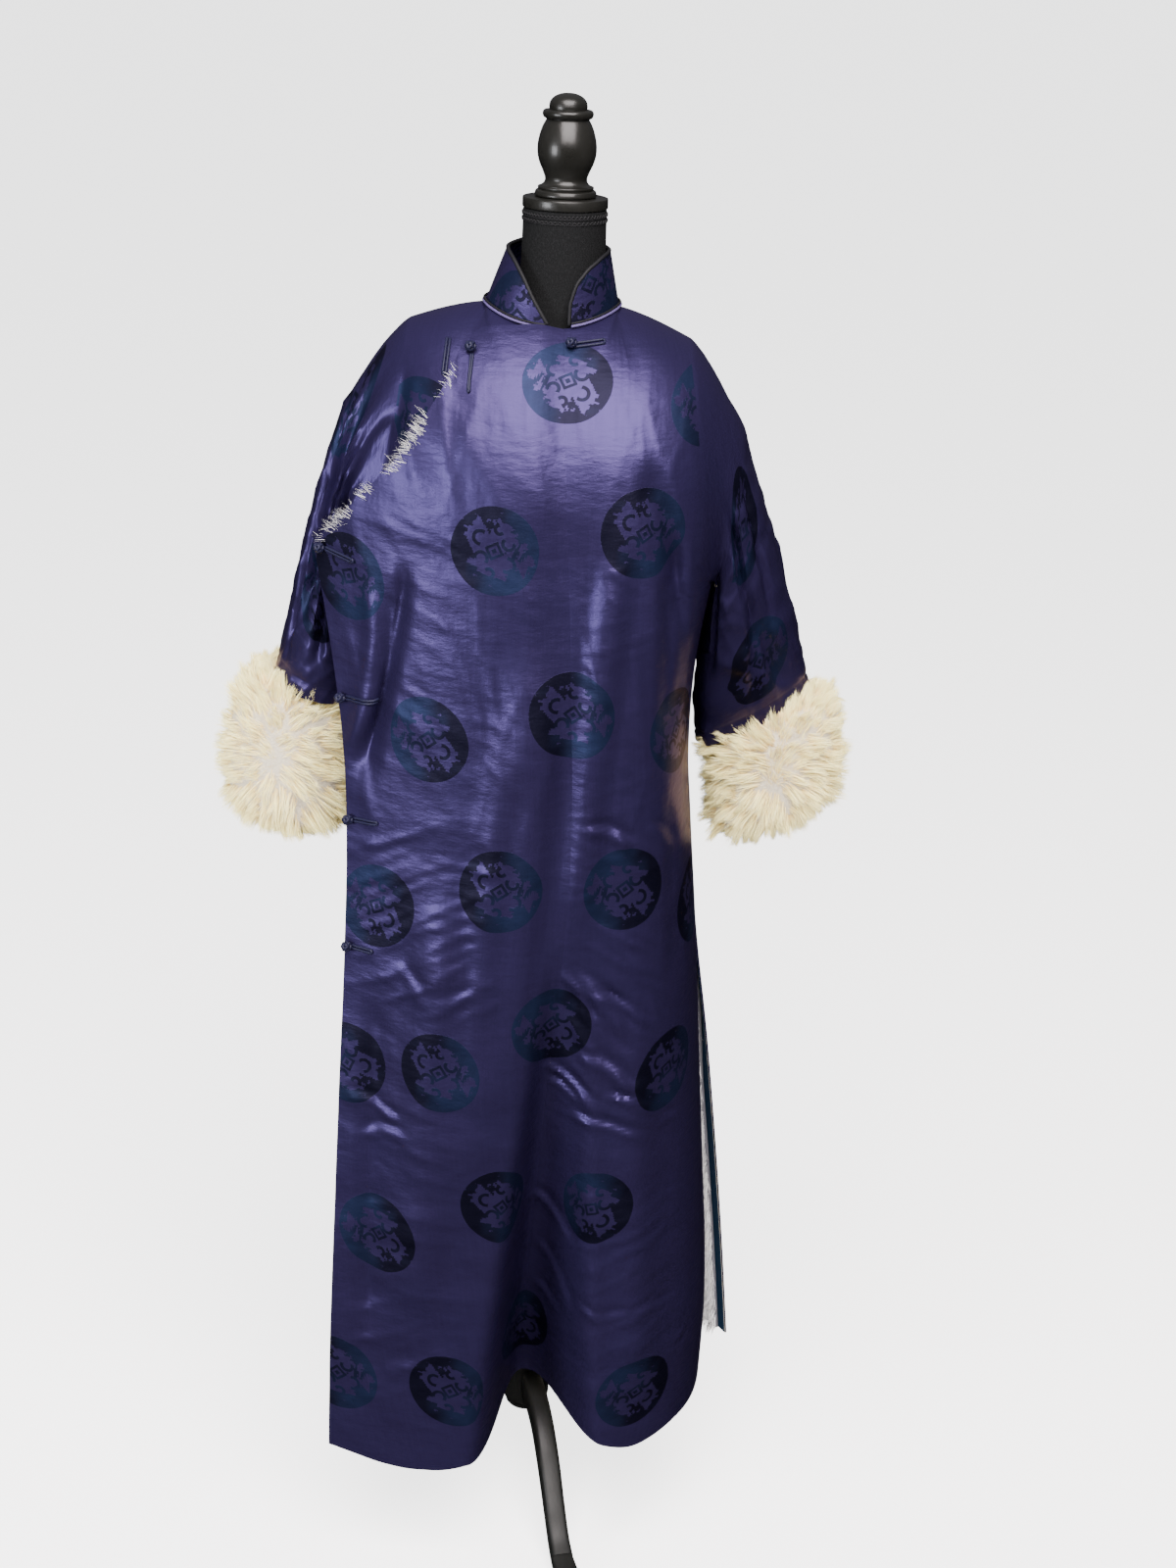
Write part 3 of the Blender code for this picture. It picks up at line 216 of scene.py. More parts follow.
def use_colours(tree, shader, share, low, high):
    """Colour a shader between two colours, by a share."""
    set_sockets(tree, shader, {"Base Color": blend(tree, share, low, high)})


def use_bump(tree, shader, strength, distance, height, under=None):
    """Raise a shader's surface by a height, over another bump if there is one."""
    values = {"Strength": strength, "Distance": distance, "Height": height}
    bump = add_node(tree, "Bump", values if under is None else {**values, "Normal": under})
    set_sockets(tree, shader, {"Normal": bump.outputs[0]})


def finish_of(name, colour, roughness, **sockets):
    """A material with its shader's own sockets set: the material, its node tree and its shader."""
    made = bpy.data.materials.new(name)
    made.use_nodes = True
    shader = made.node_tree.nodes["Principled BSDF"]
    shader.inputs["Base Color"].default_value = (*colour, 1.0)
    shader.inputs["Roughness"].default_value = roughness
    for key, value in sockets.items():
        shader.inputs[key.replace("_", " ")].default_value = value
    return made, made.node_tree, shader


def shader_group(name, inputs, outputs):
    """An empty group with named sockets: its tree, its inputs' node and its outputs' node."""
    tree = bpy.data.node_groups.new(name, "ShaderNodeTree")
    for sockets, way in ((inputs, "INPUT"), (outputs, "OUTPUT")):
        for socket, kind in sockets.items():
            tree.interface.new_socket(socket, in_out=way, socket_type="NodeSocket" + kind)
    return tree, tree.nodes.new("NodeGroupInput"), tree.nodes.new("NodeGroupOutput")


# Streaks of grain or thread: noise drawn out along one direction, between 0 and 1
streaks, given, result = shader_group(
    "streaks", {"Vector": "Vector", "Across": "Float", "Along": "Float", "Drawn Out": "Float"},
    {"Value": "Float"})
stretch = add_node(streaks, "CombineXYZ", {0: given.outputs["Across"], 1: given.outputs["Along"],
                                           2: given.outputs["Drawn Out"]})
drawn = add_node(streaks, "VectorMath", {0: given.outputs["Vector"], 1: stretch.outputs[0]},
                 operation="MULTIPLY")
set_sockets(streaks, result, {"Value": noise_of(streaks, drawn.outputs[0], 1.0, 3.0, Roughness=0.6)})


def use_streaks(tree, vector, across, along, drawn_out=0.0):
    """The streaks group placed in a material."""
    node = add_node(tree, "Group", node_tree=streaks)
    set_sockets(tree, node, {"Vector": vector, "Across": across, "Along": along, "Drawn Out": drawn_out})
    return node.outputs["Value"]


def black_wood(name, colour, roughness, coat):
    """Stained and varnished wood: faint vertical grain, rubbed patches and a thin coat."""
    made, tree, shader = finish_of(name, colour, roughness, Coat_Weight=coat, Coat_Roughness=0.16,
                                   Specular_IOR_Level=0.25)
    place = place_of(tree)
    grain = use_streaks(tree, place, 420.0, 420.0, 40.0)
    rubbed = noise_of(tree, place, 34.0, 4.0)
    lighter = tuple(2.0 * part + 0.006 for part in colour)
    shade = calc(tree, "MULTIPLY", calc(tree, "POWER", rubbed, 2.2), 0.55)
    use_colours(tree, shader, shade, colour, lighter)
    set_sockets(tree, shader, {"Roughness": calc(tree, "MULTIPLY_ADD", rubbed, 0.3, roughness - 0.15)})
    use_bump(tree, shader, 0.25, 0.0006, grain)
    return made


stand_black = black_wood("stand_black", (0.004, 0.0044, 0.0038), 0.5, 0.0)
turned("hub_turned", [
    [(0, 0.215), (0.015, 0.215)], [(0.015, 0.215), (0.0168, 0.2125), (0.019, 0.208)],
    [(0.0205, 0.2075), (0.024, 0.204), (0.028, 0.1985), (0.029, 0.193)],
    [(0.029, 0.193), (0.0282, 0.16), (0.029, 0.105)],
    [(0.029, 0.105), (0.0272, 0.0985), (0.025, 0.096)],
    [(0.025, 0.092), (0.022, 0.0885), (0.016, 0.086), (0, 0.085)]], stand_black, "stand_wood", "hub")
turned("pole_turned", [[(0, 0.6996), (0.0115, 0.6996)], [(0.0125, 0.6985), (0.0125, 0.2154)],
                       [(0.0125, 0.2154), (0, 0.2154)]], stand_black, "stand_wood", "pole", 40)

# A leg by its places: distance out, height, width and thickness
LEG = np.array([
    (0.0295, 0.13, 0.026, 0.04), (0.06, 0.13, 0.026, 0.034), (0.1, 0.118, 0.026, 0.03),
    (0.14, 0.09, 0.026, 0.027), (0.175, 0.056, 0.025, 0.025), (0.205, 0.029, 0.025, 0.024),
    (0.23, 0.016, 0.026, 0.022)])
FOOT_REACH, FOOT_RADIUS, FOOT_HEIGHT = 0.25, 0.015, 0.02
FRONT_LEG_AZIMUTH = 14.0


def leg(name, node, azimuth):
    """A rounded square, carried along the leg's curve, that ends on a round foot."""
    run = np.arange(len(LEG), dtype=float)
    out, z, width, thickness = (smooth_curve(np.linspace(0, run[-1], 40), run, LEG[:, k]) for k in range(4))
    out = np.append(out, [FOOT_REACH, FOOT_REACH, FOOT_REACH, FOOT_REACH])
    z = np.append(z, [FOOT_HEIGHT, 0.002, 0.0, 0.0])
    heading = unit(stacked(np.gradient(out), np.gradient(z)), 1e-9)
    heading[0] = (1.0, 0.0)
    heading[-4:] = (0.0, -1.0)
    foot = 2 * FOOT_RADIUS * np.array([0.92, 1.0, 0.94, 0.0])
    width, thickness = np.append(width, foot), np.append(thickness, foot)
    turn = turns(28)
    square = np.full(len(out), 0.45)
    square[-4:] = 1.0
    u, v = (np.sign(wave) * np.abs(wave) ** square[:, None] * 0.5 * size[:, None]
            for wave, size in ((np.cos(turn), width), (np.sin(turn), thickness)))
    far = out[:, None] - v * heading[:, 1:]
    high = z[:, None] + v * heading[:, :1]
    a = math.radians(azimuth)
    points = stacked(far * math.sin(a) + u * math.cos(a), -far * math.cos(a) + u * math.sin(a), high)
    points = np.concatenate([points[:1] * 0 + points[:1].mean(axis=1, keepdims=True), points])
    grid_piece(name, points, stand_black, "stand_wood", replaces=(node,), closed=True, sharp=40)


for count, side in enumerate(("front", "right", "left")):
    leg("leg_" + side + "_carved", "leg_" + side, FRONT_LEG_AZIMUTH + 120 * count)

# The dress form. A limbless torso of papier mache under one skin of black knitted jersey, which ends in an
# overlocked edge below the wooden neck cap. The cap and its turned finial are lacquered black.
FORM = np.array([
    (0.7, 0.142, 0.1, 0.0), (0.73, 0.148, 0.106, 0.0), (0.8, 0.152, 0.112, 0.0),
    (0.9, 0.146, 0.106, 0.0), (1.0, 0.137, 0.099, 0.0), (1.1, 0.142, 0.103, 0.0),
    (1.2, 0.152, 0.111, 0.0), (1.29, 0.158, 0.112, 0.002), (1.35, 0.157, 0.102, 0.002),
    (1.395, 0.148, 0.083, 0.002), (1.425, 0.122, 0.066, 0.002), (1.445, 0.086, 0.057, 0.0),
    (1.462, 0.055, 0.049, 0.0), (1.485, 0.048, 0.0465, 0.0), (1.53, 0.0455, 0.045, 0.0),
    (1.5885, 0.0445, 0.0445, 0.0)])
SHOULDER_HEIGHT, FORM_SIDES = 1.42, 96


def form_point(z, turn, out=0.0):
    """The form's skin: a rounded ellipse at each height, squarer below the neck."""
    half_width, half_depth, y = (smooth_curve(z, FORM[:, 0], FORM[:, k]) for k in (1, 2, 3))
    power = np.where(z < SHOULDER_HEIGHT, 0.85, 1.0)
    cosine, sine = (np.sign(wave) * np.abs(wave) ** power for wave in (np.cos(turn), np.sin(turn)))
    return stacked((half_width + out) * cosine, y + (half_depth + out) * sine, z + 0 * cosine)


def black_jersey():
    """Matte knit: rows of small stitches over the surface, with a little lint."""
    yarn, fluff = (0.003, 0.0033, 0.0035), (0.014, 0.0145, 0.0155)
    made, tree, shader = finish_of("black_jersey", yarn, 0.92, Specular_IOR_Level=0.12)
    place = place_of(tree, "knit")
    knit = add_node(tree, "TexVoronoi", {"Vector": place, "Scale": 620.0}).outputs["Distance"]
    lint = noise_of(tree, place, 260.0, 4.0)
    specks = calc(tree, "MULTIPLY", calc(tree, "POWER", lint, 5.0), 2.2)
    use_colours(tree, shader, specks, yarn, fluff)
    use_bump(tree, shader, 0.5, 0.0006, knit)
    return made


jersey = black_jersey()
form_z = np.concatenate([np.linspace(0.7, 1.45, 70), np.linspace(1.458, 1.585, 34),
                         [1.5872, 1.5882, 1.5885, 1.5885]])[:, None]
form_turn = turns(FORM_SIDES)[None, :]
pinch = np.concatenate([np.zeros(104), [0.0, -0.0006, -0.0016, -0.0445]])[:, None]
skin = form_point(form_z, form_turn, pinch)
under_ring = skin[:1].mean(axis=1, keepdims=True) + 0 * skin[:1]
skin = np.concatenate([under_ring, skin])
knit_map = stacked(form_turn * 0.11 + 0 * form_z, form_z + 0 * form_turn)
knit_map = np.concatenate([knit_map[:1], knit_map])
grid_piece("dress_form_jersey", skin, jersey, "jersey", maps={"knit": knit_map}, replaces=("dress_form",),
           closed=True, sharp=60)


def carry(path, radius, sides=8, reference=(0.0, 0.0, 1.0), closed=False):
    """A circle carried square to a path, measured from a reference direction: points and faces."""
    along = np.roll(path, -1, axis=0) - np.roll(path, 1, axis=0) if closed else np.gradient(path, axis=0)
    along = unit(along)
    aside = unit(np.cross(along, reference))
    above = np.cross(aside, along)
    radius = np.broadcast_to(radius, len(path)).copy()
    if closed:
        path, aside, above, radius = (np.concatenate([a, a[:1]]) for a in (path, aside, above, radius))
    else:
        path, aside, above = (np.concatenate([a[:1], a[:1], a, a[-1:], a[-1:]]) for a in (path, aside, above))
        radius = np.concatenate([[0.0, 0.7 * radius[0]], radius, [0.7 * radius[-1], 0.0]])
        path[:2] -= along[:1] * radius[2] * np.array([[0.5], [0.35]])
        path[-2:] += along[-1:] * radius[2] * np.array([[0.35], [0.5]])
    turn = turns(sides)[None, :, None]
    spoke = np.cos(turn) * aside[:, None] + np.sin(turn) * above[:, None]
    points = path[:, None] + radius[:, None, None] * spoke
    return points.reshape(-1, 3), grid_faces(len(path), sides, ring=True)


def joined(parts):
    """Several pairs of points and faces as one pair."""
    starts = np.cumsum([0] + [len(points) for points, faces in parts])
    return (np.concatenate([points for points, faces in parts]),
            np.concatenate([faces + start for (points, faces), start in zip(parts, starts)]))


# Two rows of overlock thread round the jersey's top edge: each is a wave that climbs and falls
overlock_finish = finish_of("overlock_thread", (0.008, 0.008, 0.009), 0.7, Specular_IOR_Level=0.2)[0]
overlock = []
for level, waves, height in ((1.5835, 64, 0.0016), (1.5775, 56, 0.0013)):
    turn = turns(waves * 8)
    z = level + height * np.sin(waves * turn)
    path = form_point(z, turn + 0.012 * np.sin(2 * waves * turn), 0.0006 + 0.0003 * np.cos(waves * turn))
    overlock.append(carry(path, 0.00055, 5, closed=True))
    path = form_point(level - height - 0.0004 + 0 * turn, turn, 0.0005)
    overlock.append(carry(path, 0.0005, 5, closed=True))
make_piece("overlock_stitches", *joined(overlock), overlock_finish, "jersey", closed=True)

lacquer = black_wood("black_lacquer", (0.005, 0.005, 0.0042), 0.32, 0.14)
turned("neck_cap_turned", [
    [(0, 1.6), (0.044, 1.6)], [(0.044, 1.6), (0.0452, 1.5996), (0.0456, 1.5984)],
    [(0.0456, 1.5984), (0.0456, 1.5905)], [(0.0456, 1.5905), (0.0452, 1.5894), (0.044, 1.589)],
    [(0.044, 1.589), (0, 1.589)]], lacquer, "turned_wood", "neck_cap", 96)
turned("finial_turned", [
    [(0, 1.706), (0.006, 1.7055), (0.011, 1.7041), (0.0165, 1.7008), (0.0195, 1.6965), (0.0203, 1.6925)],
    [(0.0203, 1.6925), (0.0198, 1.6893)],
    [(0.0215, 1.689), (0.0248, 1.6888), (0.0266, 1.6868), (0.0268, 1.684), (0.0255, 1.6812),
     (0.0232, 1.6797)],
    [(0.0226, 1.6792), (0.0262, 1.6725), (0.0297, 1.662), (0.0313, 1.652), (0.0309, 1.643),
     (0.0288, 1.635), (0.0252, 1.627), (0.0226, 1.6205)],
    [(0.0226, 1.6205), (0.0224, 1.6175), (0.0236, 1.6145), (0.0262, 1.6122), (0.0276, 1.6116)],
    [(0.0276, 1.6112), (0.0296, 1.6108), (0.0298, 1.609), (0.029, 1.6078)],
    [(0.0302, 1.6074), (0.0318, 1.6066), (0.0325, 1.605), (0.0325, 1.601), (0.0318, 1.6004)],
    [(0.0318, 1.6004), (0, 1.6004)]], lacquer, "turned_wood", "finial", 96)

# The body of the robe. Silk damask in satin weave, cut as two halves that each run from the front hem over
# the shoulder to the back hem, sewn to each other down the centre back and lined with fur. The wearer's
# right half has only a narrow under front, which the overlap covers.
HEM, SLIT_TOP, UNDERARM, CHEST, OVERLAP_CORNER = 0.165, 0.775, 1.2, 1.25, 1.235
NECK_X, NECK_HALF_WIDTH, NECK_FRONT, NECK_BACK = -0.0105, 0.0705, 0.06, 0.056
NECK_FRONT_Z, NECK_SIDE_Z, NECK_BACK_Z = 1.47, 1.4875, 1.497
TIP_LEFT, TIP_RIGHT = (-0.199, 1.453), (0.176, 1.437)
UNDER_FRONT_X = -0.045
# How far the overlap lies off the under front, and the gap at a seam and under a knot
LIFT, GAP = 0.009, 0.0004
SECTION = "z seam edge_x edge_y left right side front back back_left back_right back_side".split()
SECTIONS = np.array([
    (0.13, -0.006, -0.228, -0.19, -0.212, 0.217, 0.02, -0.212, 0.205, -0.226, 0.26, 0.055),
    (0.3, -0.002, -0.227, -0.18, -0.207, 0.219, 0.008, -0.205, 0.195, -0.222, 0.243, 0.048),
    (0.45, 0.006, -0.223, -0.168, -0.203, 0.208, 0.002, -0.2, 0.186, -0.215, 0.226, 0.041),
    (0.6, 0.014, -0.219, -0.152, -0.2, 0.196, 0.002, -0.195, 0.178, -0.206, 0.207, 0.03),
    (0.775, 0.027, -0.214, -0.13, -0.196, 0.182, 0.01, -0.19, 0.17, -0.196, 0.182, 0.01),
    (0.9, 0.033, -0.213, -0.114, -0.19, 0.17, 0.01, -0.185, 0.16, -0.19, 0.17, 0.01),
    (1.0, 0.032, -0.217, -0.101, -0.186, 0.162, 0.01, -0.18, 0.152, -0.186, 0.162, 0.01),
    (1.1, 0.027, -0.23, -0.086, -0.19, 0.164, 0.01, -0.175, 0.15, -0.19, 0.164, 0.01),
    (1.2, 0.022, -0.248, -0.07, -0.2, 0.178, 0.01, -0.168, 0.152, -0.2, 0.178, 0.01),
    (1.25, 0.019, -0.258, -0.064, -0.205, 0.186, 0.01, -0.163, 0.152, -0.205, 0.186, 0.01),
    (1.47, 0.004, -0.258, -0.064, -0.199, 0.176, 0.01, -0.163, 0.152, -0.199, 0.176, 0.01)])
FRONT_HEM = np.array([
    (-0.23, -0.012), (-0.12, -0.03), (-0.07, -0.022), (-0.025, 0.006), (0.05, 0.018), (0.137, -0.002),
    (0.19, 0.012), (0.22, 0.013)])

# Soft folds: upper end, lower end, half width and depth; a negative depth is a ridge
FRONT_FOLDS = [
    (0.072, 1.3, 0.038, 0.79, 0.03, -0.009), (0.128, 1.29, 0.138, 1.03, 0.02, 0.01),
    (0.145, 1.01, 0.16, 0.74, 0.02, 0.009), (0.095, 1.36, 0.15, 1.15, 0.024, 0.008),
    (-0.15, 1.24, -0.195, 0.96, 0.02, 0.008), (-0.1, 0.9, -0.13, 0.3, 0.045, -0.01),
    (-0.175, 0.78, -0.185, 0.25, 0.026, 0.005), (0.11, 0.76, 0.14, 0.2, 0.04, -0.01),
    (0.0, 1.18, -0.085, 0.42, 0.05, -0.011), (-0.02, 1.05, -0.05, 0.64, 0.026, 0.006)]
UNDER_FOLDS = [
    (-0.181, 1.45, -0.177, 1.36, 0.016, -0.009), (-0.16, 1.43, -0.185, 1.29, 0.014, 0.01)]
BACK_FOLDS = [
    (-0.15, 0.98, -0.19, 0.12, 0.04, -0.016), (-0.075, 1.06, -0.1, 0.12, 0.036, 0.026),
    (0.01, 0.98, 0.0, 0.12, 0.04, -0.012), (0.085, 1.06, 0.105, 0.12, 0.038, 0.028),
    (0.15, 0.94, 0.195, 0.12, 0.04, -0.015), (-0.12, 1.4, -0.1, 1.15, 0.03, 0.007),
    (0.11, 1.39, 0.095, 1.14, 0.03, 0.007)]
CENTRE_FOLD_TOP, CENTRE_FOLD_DEPTH, CENTRE_FOLD_WIDTHS = 0.82, 0.15, (0.036, 0.088)

# Creases with one steep side: ends, width and depth. The cloth falls on their left, seen from their start.
FRONT_CREASES = [
    (0.047, 0.963, 0.105, 0.933, 0.007, 0.0035), (0.103, 1.321, 0.134, 1.212, 0.01, 0.004),
    (0.126, 1.256, 0.142, 1.056, 0.008, 0.0035), (0.148, 0.996, 0.159, 0.828, 0.008, 0.004),
    (-0.152, 0.783, -0.112, 0.73, 0.008, 0.0013), (-0.112, 0.739, -0.052, 0.764, 0.007, 0.0009),
    (-0.198, 0.567, -0.136, 0.577, 0.007, 0.0014), (0.036, 0.798, 0.116, 0.702, 0.009, 0.003),
    (0.053, 0.689, 0.119, 0.642, 0.008, 0.0035), (0.015, 0.643, 0.056, 0.621, 0.006, 0.003),
    (0.002, 0.482, 0.055, 0.424, 0.007, 0.0035), (0.011, 0.34, 0.039, 0.312, 0.007, 0.0035),
    (0.061, 0.355, 0.089, 0.345, 0.006, 0.0016), (0.089, 0.345, 0.123, 0.356, 0.006, 0.0014),
    (0.123, 0.356, 0.175, 0.353, 0.006, 0.0018), (0.195, 0.299, 0.179, 0.283, 0.006, 0.0025),
    (0.148, 0.597, 0.167, 0.591, 0.005, 0.0025), (-0.167, 0.269, -0.12, 0.276, 0.01, 0.0009),
    (-0.175, 1.218, -0.21, 0.966, 0.012, 0.004), (-0.148, 1.244, -0.207, 0.99, 0.01, 0.003),
    (0.032, 0.791, 0.066, 0.722, 0.006, 0.003), (0.063, 0.767, 0.135, 0.716, 0.006, 0.0032),
    (0.01, 0.668, 0.08, 0.609, 0.006, 0.0032), (0.03, 0.606, 0.135, 0.582, 0.006, 0.0026),
    (0.08, 0.64, 0.15, 0.612, 0.005, 0.0024), (-0.212, 0.616, -0.14, 0.586, 0.006, 0.002),
    (0.008, 0.41, 0.058, 0.332, 0.006, 0.0032), (0.12, 0.96, 0.15, 0.91, 0.006, 0.0026)]

# Wrinkled places of the front: left, right, bottom and top, then seed, spacing, slant and depth
FRONT_WRINKLES = [
    (0.01, 0.19, 0.56, 0.86, 71, 0.027, 48.0, 0.0052),
    (-0.23, -0.02, 0.7, 0.96, 72, 0.026, 108.0, 0.0036),
    (-0.23, -0.04, 0.18, 0.64, 73, 0.034, 97.0, 0.0022),
    (0.01, 0.2, 0.2, 0.54, 74, 0.03, 104.0, 0.0032),
    (-0.24, 0.18, 0.9, 1.44, 75, 0.05, 15.0, 0.0026),
    (0.01, 0.18, 0.86, 1.27, 76, 0.032, 66.0, 0.002),
    (-0.23, 0.02, 0.96, 1.32, 77, 0.036, 60.0, 0.0018)]
# Depths of long drags, fine puckers, gathers beside the seam and the sunk seam, then of the ripples behind
# and of those on the under front
DRAG, PUCKER, PULLED, SUNK_SEAM, BACK_RIPPLE, UNDER_RIPPLE = 0.001, 0.00022, 0.0009, 0.0006, 0.0016, 0.001


def ramp(value):
    """0 below 0, 1 above 1 and a smooth step between."""
    value = np.clip(value, 0.0, 1.0)
    return value * value * (3 - 2 * value)


def section(key, z):
    """A size of the robe's section at a height, kept from its lowest row down."""
    return smooth_curve(z, SECTIONS[:, 0], SECTIONS[:, SECTION.index(key)])


def back_section(key, z):
    """A size of the back panel: its own below the slit top, the same as the front's above it."""
    return np.where(z > SLIT_TOP - 1e-6, section(key, z), section("back_" + key, z))


def neck_sine(x):
    """Sine of the angle round the neck hole at which an x lies, 0 in its middle and 1 at its side."""
    return np.clip((x - NECK_X) / NECK_HALF_WIDTH, -1.0, 1.0)


def top_z(x, back=False):
    """Height of the neck hole's edge, or of the shoulder line beside it and its run past the tip."""
    middle = NECK_BACK_Z if back else NECK_FRONT_Z
    arc = middle + (NECK_SIDE_Z - middle) * neck_sine(x) ** 2
    inner_right = NECK_X + NECK_HALF_WIDTH
    inner_left = NECK_X - NECK_HALF_WIDTH
    along_right = np.clip((x - inner_right) / (TIP_RIGHT[0] - inner_right), 0.0, 1.0)
    along_left = np.clip((inner_left - x) / (inner_left - TIP_LEFT[0]), 0.0, 1.0)
    drop = (NECK_SIDE_Z - TIP_RIGHT[1]) * along_right**1.25 + (NECK_SIDE_Z - TIP_LEFT[1]) * along_left**1.4
    return arc - drop - 1.2 * np.clip(TIP_LEFT[0] - x, 0.0, None)


def rise_above_chest(x, z, back=False):
    """Share of the way up from the chest to the shoulder line."""
    return np.clip((z - CHEST) / (top_z(x, back) - CHEST), 0.0, 1.0)


def dome(x, z, y, back=False):
    """Carry a chest section's y up to the shoulder line: full at the chest, rounded at the shoulder, and
    averaged across so that the neck hole's sides leave no ridge."""
    spread = 0.024 * ramp((top_z(x, back) - z) / 0.05)
    total = 0.0 * (x + z)
    for step in np.linspace(-1, 1, 7):
        at = x + step * spread
        edge_y = (NECK_BACK if back else -NECK_FRONT) * np.sqrt(1 - neck_sine(at) ** 2)
        rise = rise_above_chest(at, z, back)
        near_neck = np.clip(1 - np.abs(at - NECK_X) / (1.7 * NECK_HALF_WIDTH), 0.0, 1.0)
        total = total + edge_y + (y - edge_y) * (1 - rise**2.2) ** (0.52 + 0.38 * ramp(near_neck))
    return total / 7


def line_frame(x, z, row):
    """A line's length and each point's place along it, from 0 to 1, and distance to its left."""
    along_x, along_z = row[2] - row[0], row[3] - row[1]
    length = math.hypot(along_x, along_z)
    place = ((x - row[0]) * along_x + (z - row[1]) * along_z) / length**2
    return length, place, ((x - row[0]) * along_z - (z - row[1]) * along_x) / -length


def fold_depth(x, z, folds):
    """Sum of soft folds: each is a squared cosine across its line, fading in and out along it."""
    total = 0.0 * (x + z)
    for row in folds:
        _, place, across = line_frame(x, z, row)
        shape = np.cos(0.5 * np.pi * np.clip(across / row[4], -1, 1)) ** 2
        total = total + row[5] * shape * ramp(place / 0.22) * ramp((1 - place) / 0.22)
    return total


def crease_depth(x, z, creases):
    """Sum of creases: a steep step at the line that eases off on both sides and fades at the ends."""
    total = 0.0 * (x + z)
    for row in creases:
        length, place, across = line_frame(x, z, row)
        bow = across - 0.08 * length * (4 * place * (1 - place) - 0.5)
        step = bow / row[4]
        shape = 2.33 * step * np.exp(-step**2)
        total = total + row[5] * shape * ramp(place / 0.25) * ramp((1 - place) / 0.25)
    return total


def ripples(u, v, seed, shortest, longest, slant, spread=0.5, count=14):
    """Irregular ripples: a sum of sine waves of random length, slant and phase, bent by slower waves."""
    draw = np.random.default_rng(seed)
    total = 0.0 * (u + v)
    for _ in range(count):
        length = shortest * (longest / shortest) ** draw.random()
        turn = slant + spread * draw.standard_normal()
        phase, slow, weight = 2 * np.pi * draw.random(3)
        across = u * math.cos(turn) + v * math.sin(turn)
        along = v * math.cos(turn) - u * math.sin(turn)
        bend = 1.3 * np.sin(2 * np.pi * along / (3.7 * length) + slow)
        patch = 0.5 + 0.5 * np.sin(2 * np.pi * (0.6 * across + along) / (5.3 * length) + weight)
        total = total + (length / longest) * patch * np.sin(2 * np.pi * across / length + phase + bend)
    return total / math.sqrt(count)


def wrinkles(u, v, seed, spacing, slant, spread=0.3, count=8):
    """Wrinkles with sharp crests: rectified sine waves, each bent by slower waves and present in patches."""
    draw = np.random.default_rng(seed)
    total = 0.0 * (u + v)
    for _ in range(count):
        size = spacing * (0.7 + 0.8 * draw.random())
        turn = math.radians(slant) + spread * draw.standard_normal()
        phase, slow, patch_u, patch_v = 2 * np.pi * draw.random(4)
        across = u * math.cos(turn) + v * math.sin(turn)
        along = v * math.cos(turn) - u * math.sin(turn)
        bend = 0.4 * np.sin(2 * np.pi * along / (6.0 * size) + slow)
        crest = (1 - np.abs(np.sin(np.pi * across / size + phase + bend))) ** 2.5
        patch = (np.sin(2 * np.pi * across / (3.3 * size) + patch_u)
                 + np.sin(2 * np.pi * along / (7 * size) + patch_v))
        total = total + crest * ramp(0.8 * patch)
    return total / math.sqrt(count)


def within_box(x, z, left, right, low, high, soft=0.05):
    """1 inside a box of the front, easing to 0 at its sides."""
    across = ramp((x - left) / soft) * ramp((right - x) / soft)
    return across * ramp((z - low) / soft) * ramp((high - z) / soft)


def centre_fold(x, z):
    """The deep fold on the centre seam, nothing at its top and widest and deepest at the hem."""
    growth = np.clip((CENTRE_FOLD_TOP - z) / (CENTRE_FOLD_TOP - HEM), 0.0, 1.1)
    half_width = CENTRE_FOLD_WIDTHS[0] + (CENTRE_FOLD_WIDTHS[1] - CENTRE_FOLD_WIDTHS[0]) * growth
    aside = x - section("seam", z)
    across = np.clip(aside / (half_width * np.where(aside < 0, 0.68, 1.18)), -1, 1)
    return CENTRE_FOLD_DEPTH * growth**1.25 * np.cos(0.5 * np.pi * across) ** 2


def front_section(x, z):
    """y of the front at a height: boxy on the wearer's left, a flat crowned panel on the overlap's side."""
    seam, deep, side, edge_y = (section(key, z) for key in ("seam", "front", "side", "edge_y"))
    to_right = np.clip((x - seam) / (section("right", z) - seam), 0.0, 1.0)
    to_left = np.clip((seam - x) / (seam - section("edge_x", z)), 0.0, 1.15)
    on_right = side + (deep - side) * (1 - to_right**3) ** (1 / 3)
    return np.where(x > seam, on_right, edge_y + (deep - edge_y) * (1 - to_left**2.2))


def front_frame(x, z):
    """At a place of the front: its height up to the chest, its seam and a fade of the folds to 0 at the
    side and at the shoulder line."""
    level = np.minimum(z, CHEST)
    seam = section("seam", level)
    to_right = np.clip((x - seam) / (section("right", level) - seam), 0.0, 1.0)
    return level, seam, (1 - to_right**6) * (1 - rise_above_chest(x, z) ** 4)


def front_y(x, z):
    """The front's outer face as a height field over x and z, with its soft folds."""
    level, _, fade = front_frame(x, z)
    y = dome(x, z, front_section(x, level))
    return y + fade * fold_depth(x, z, FRONT_FOLDS) + centre_fold(x, z)


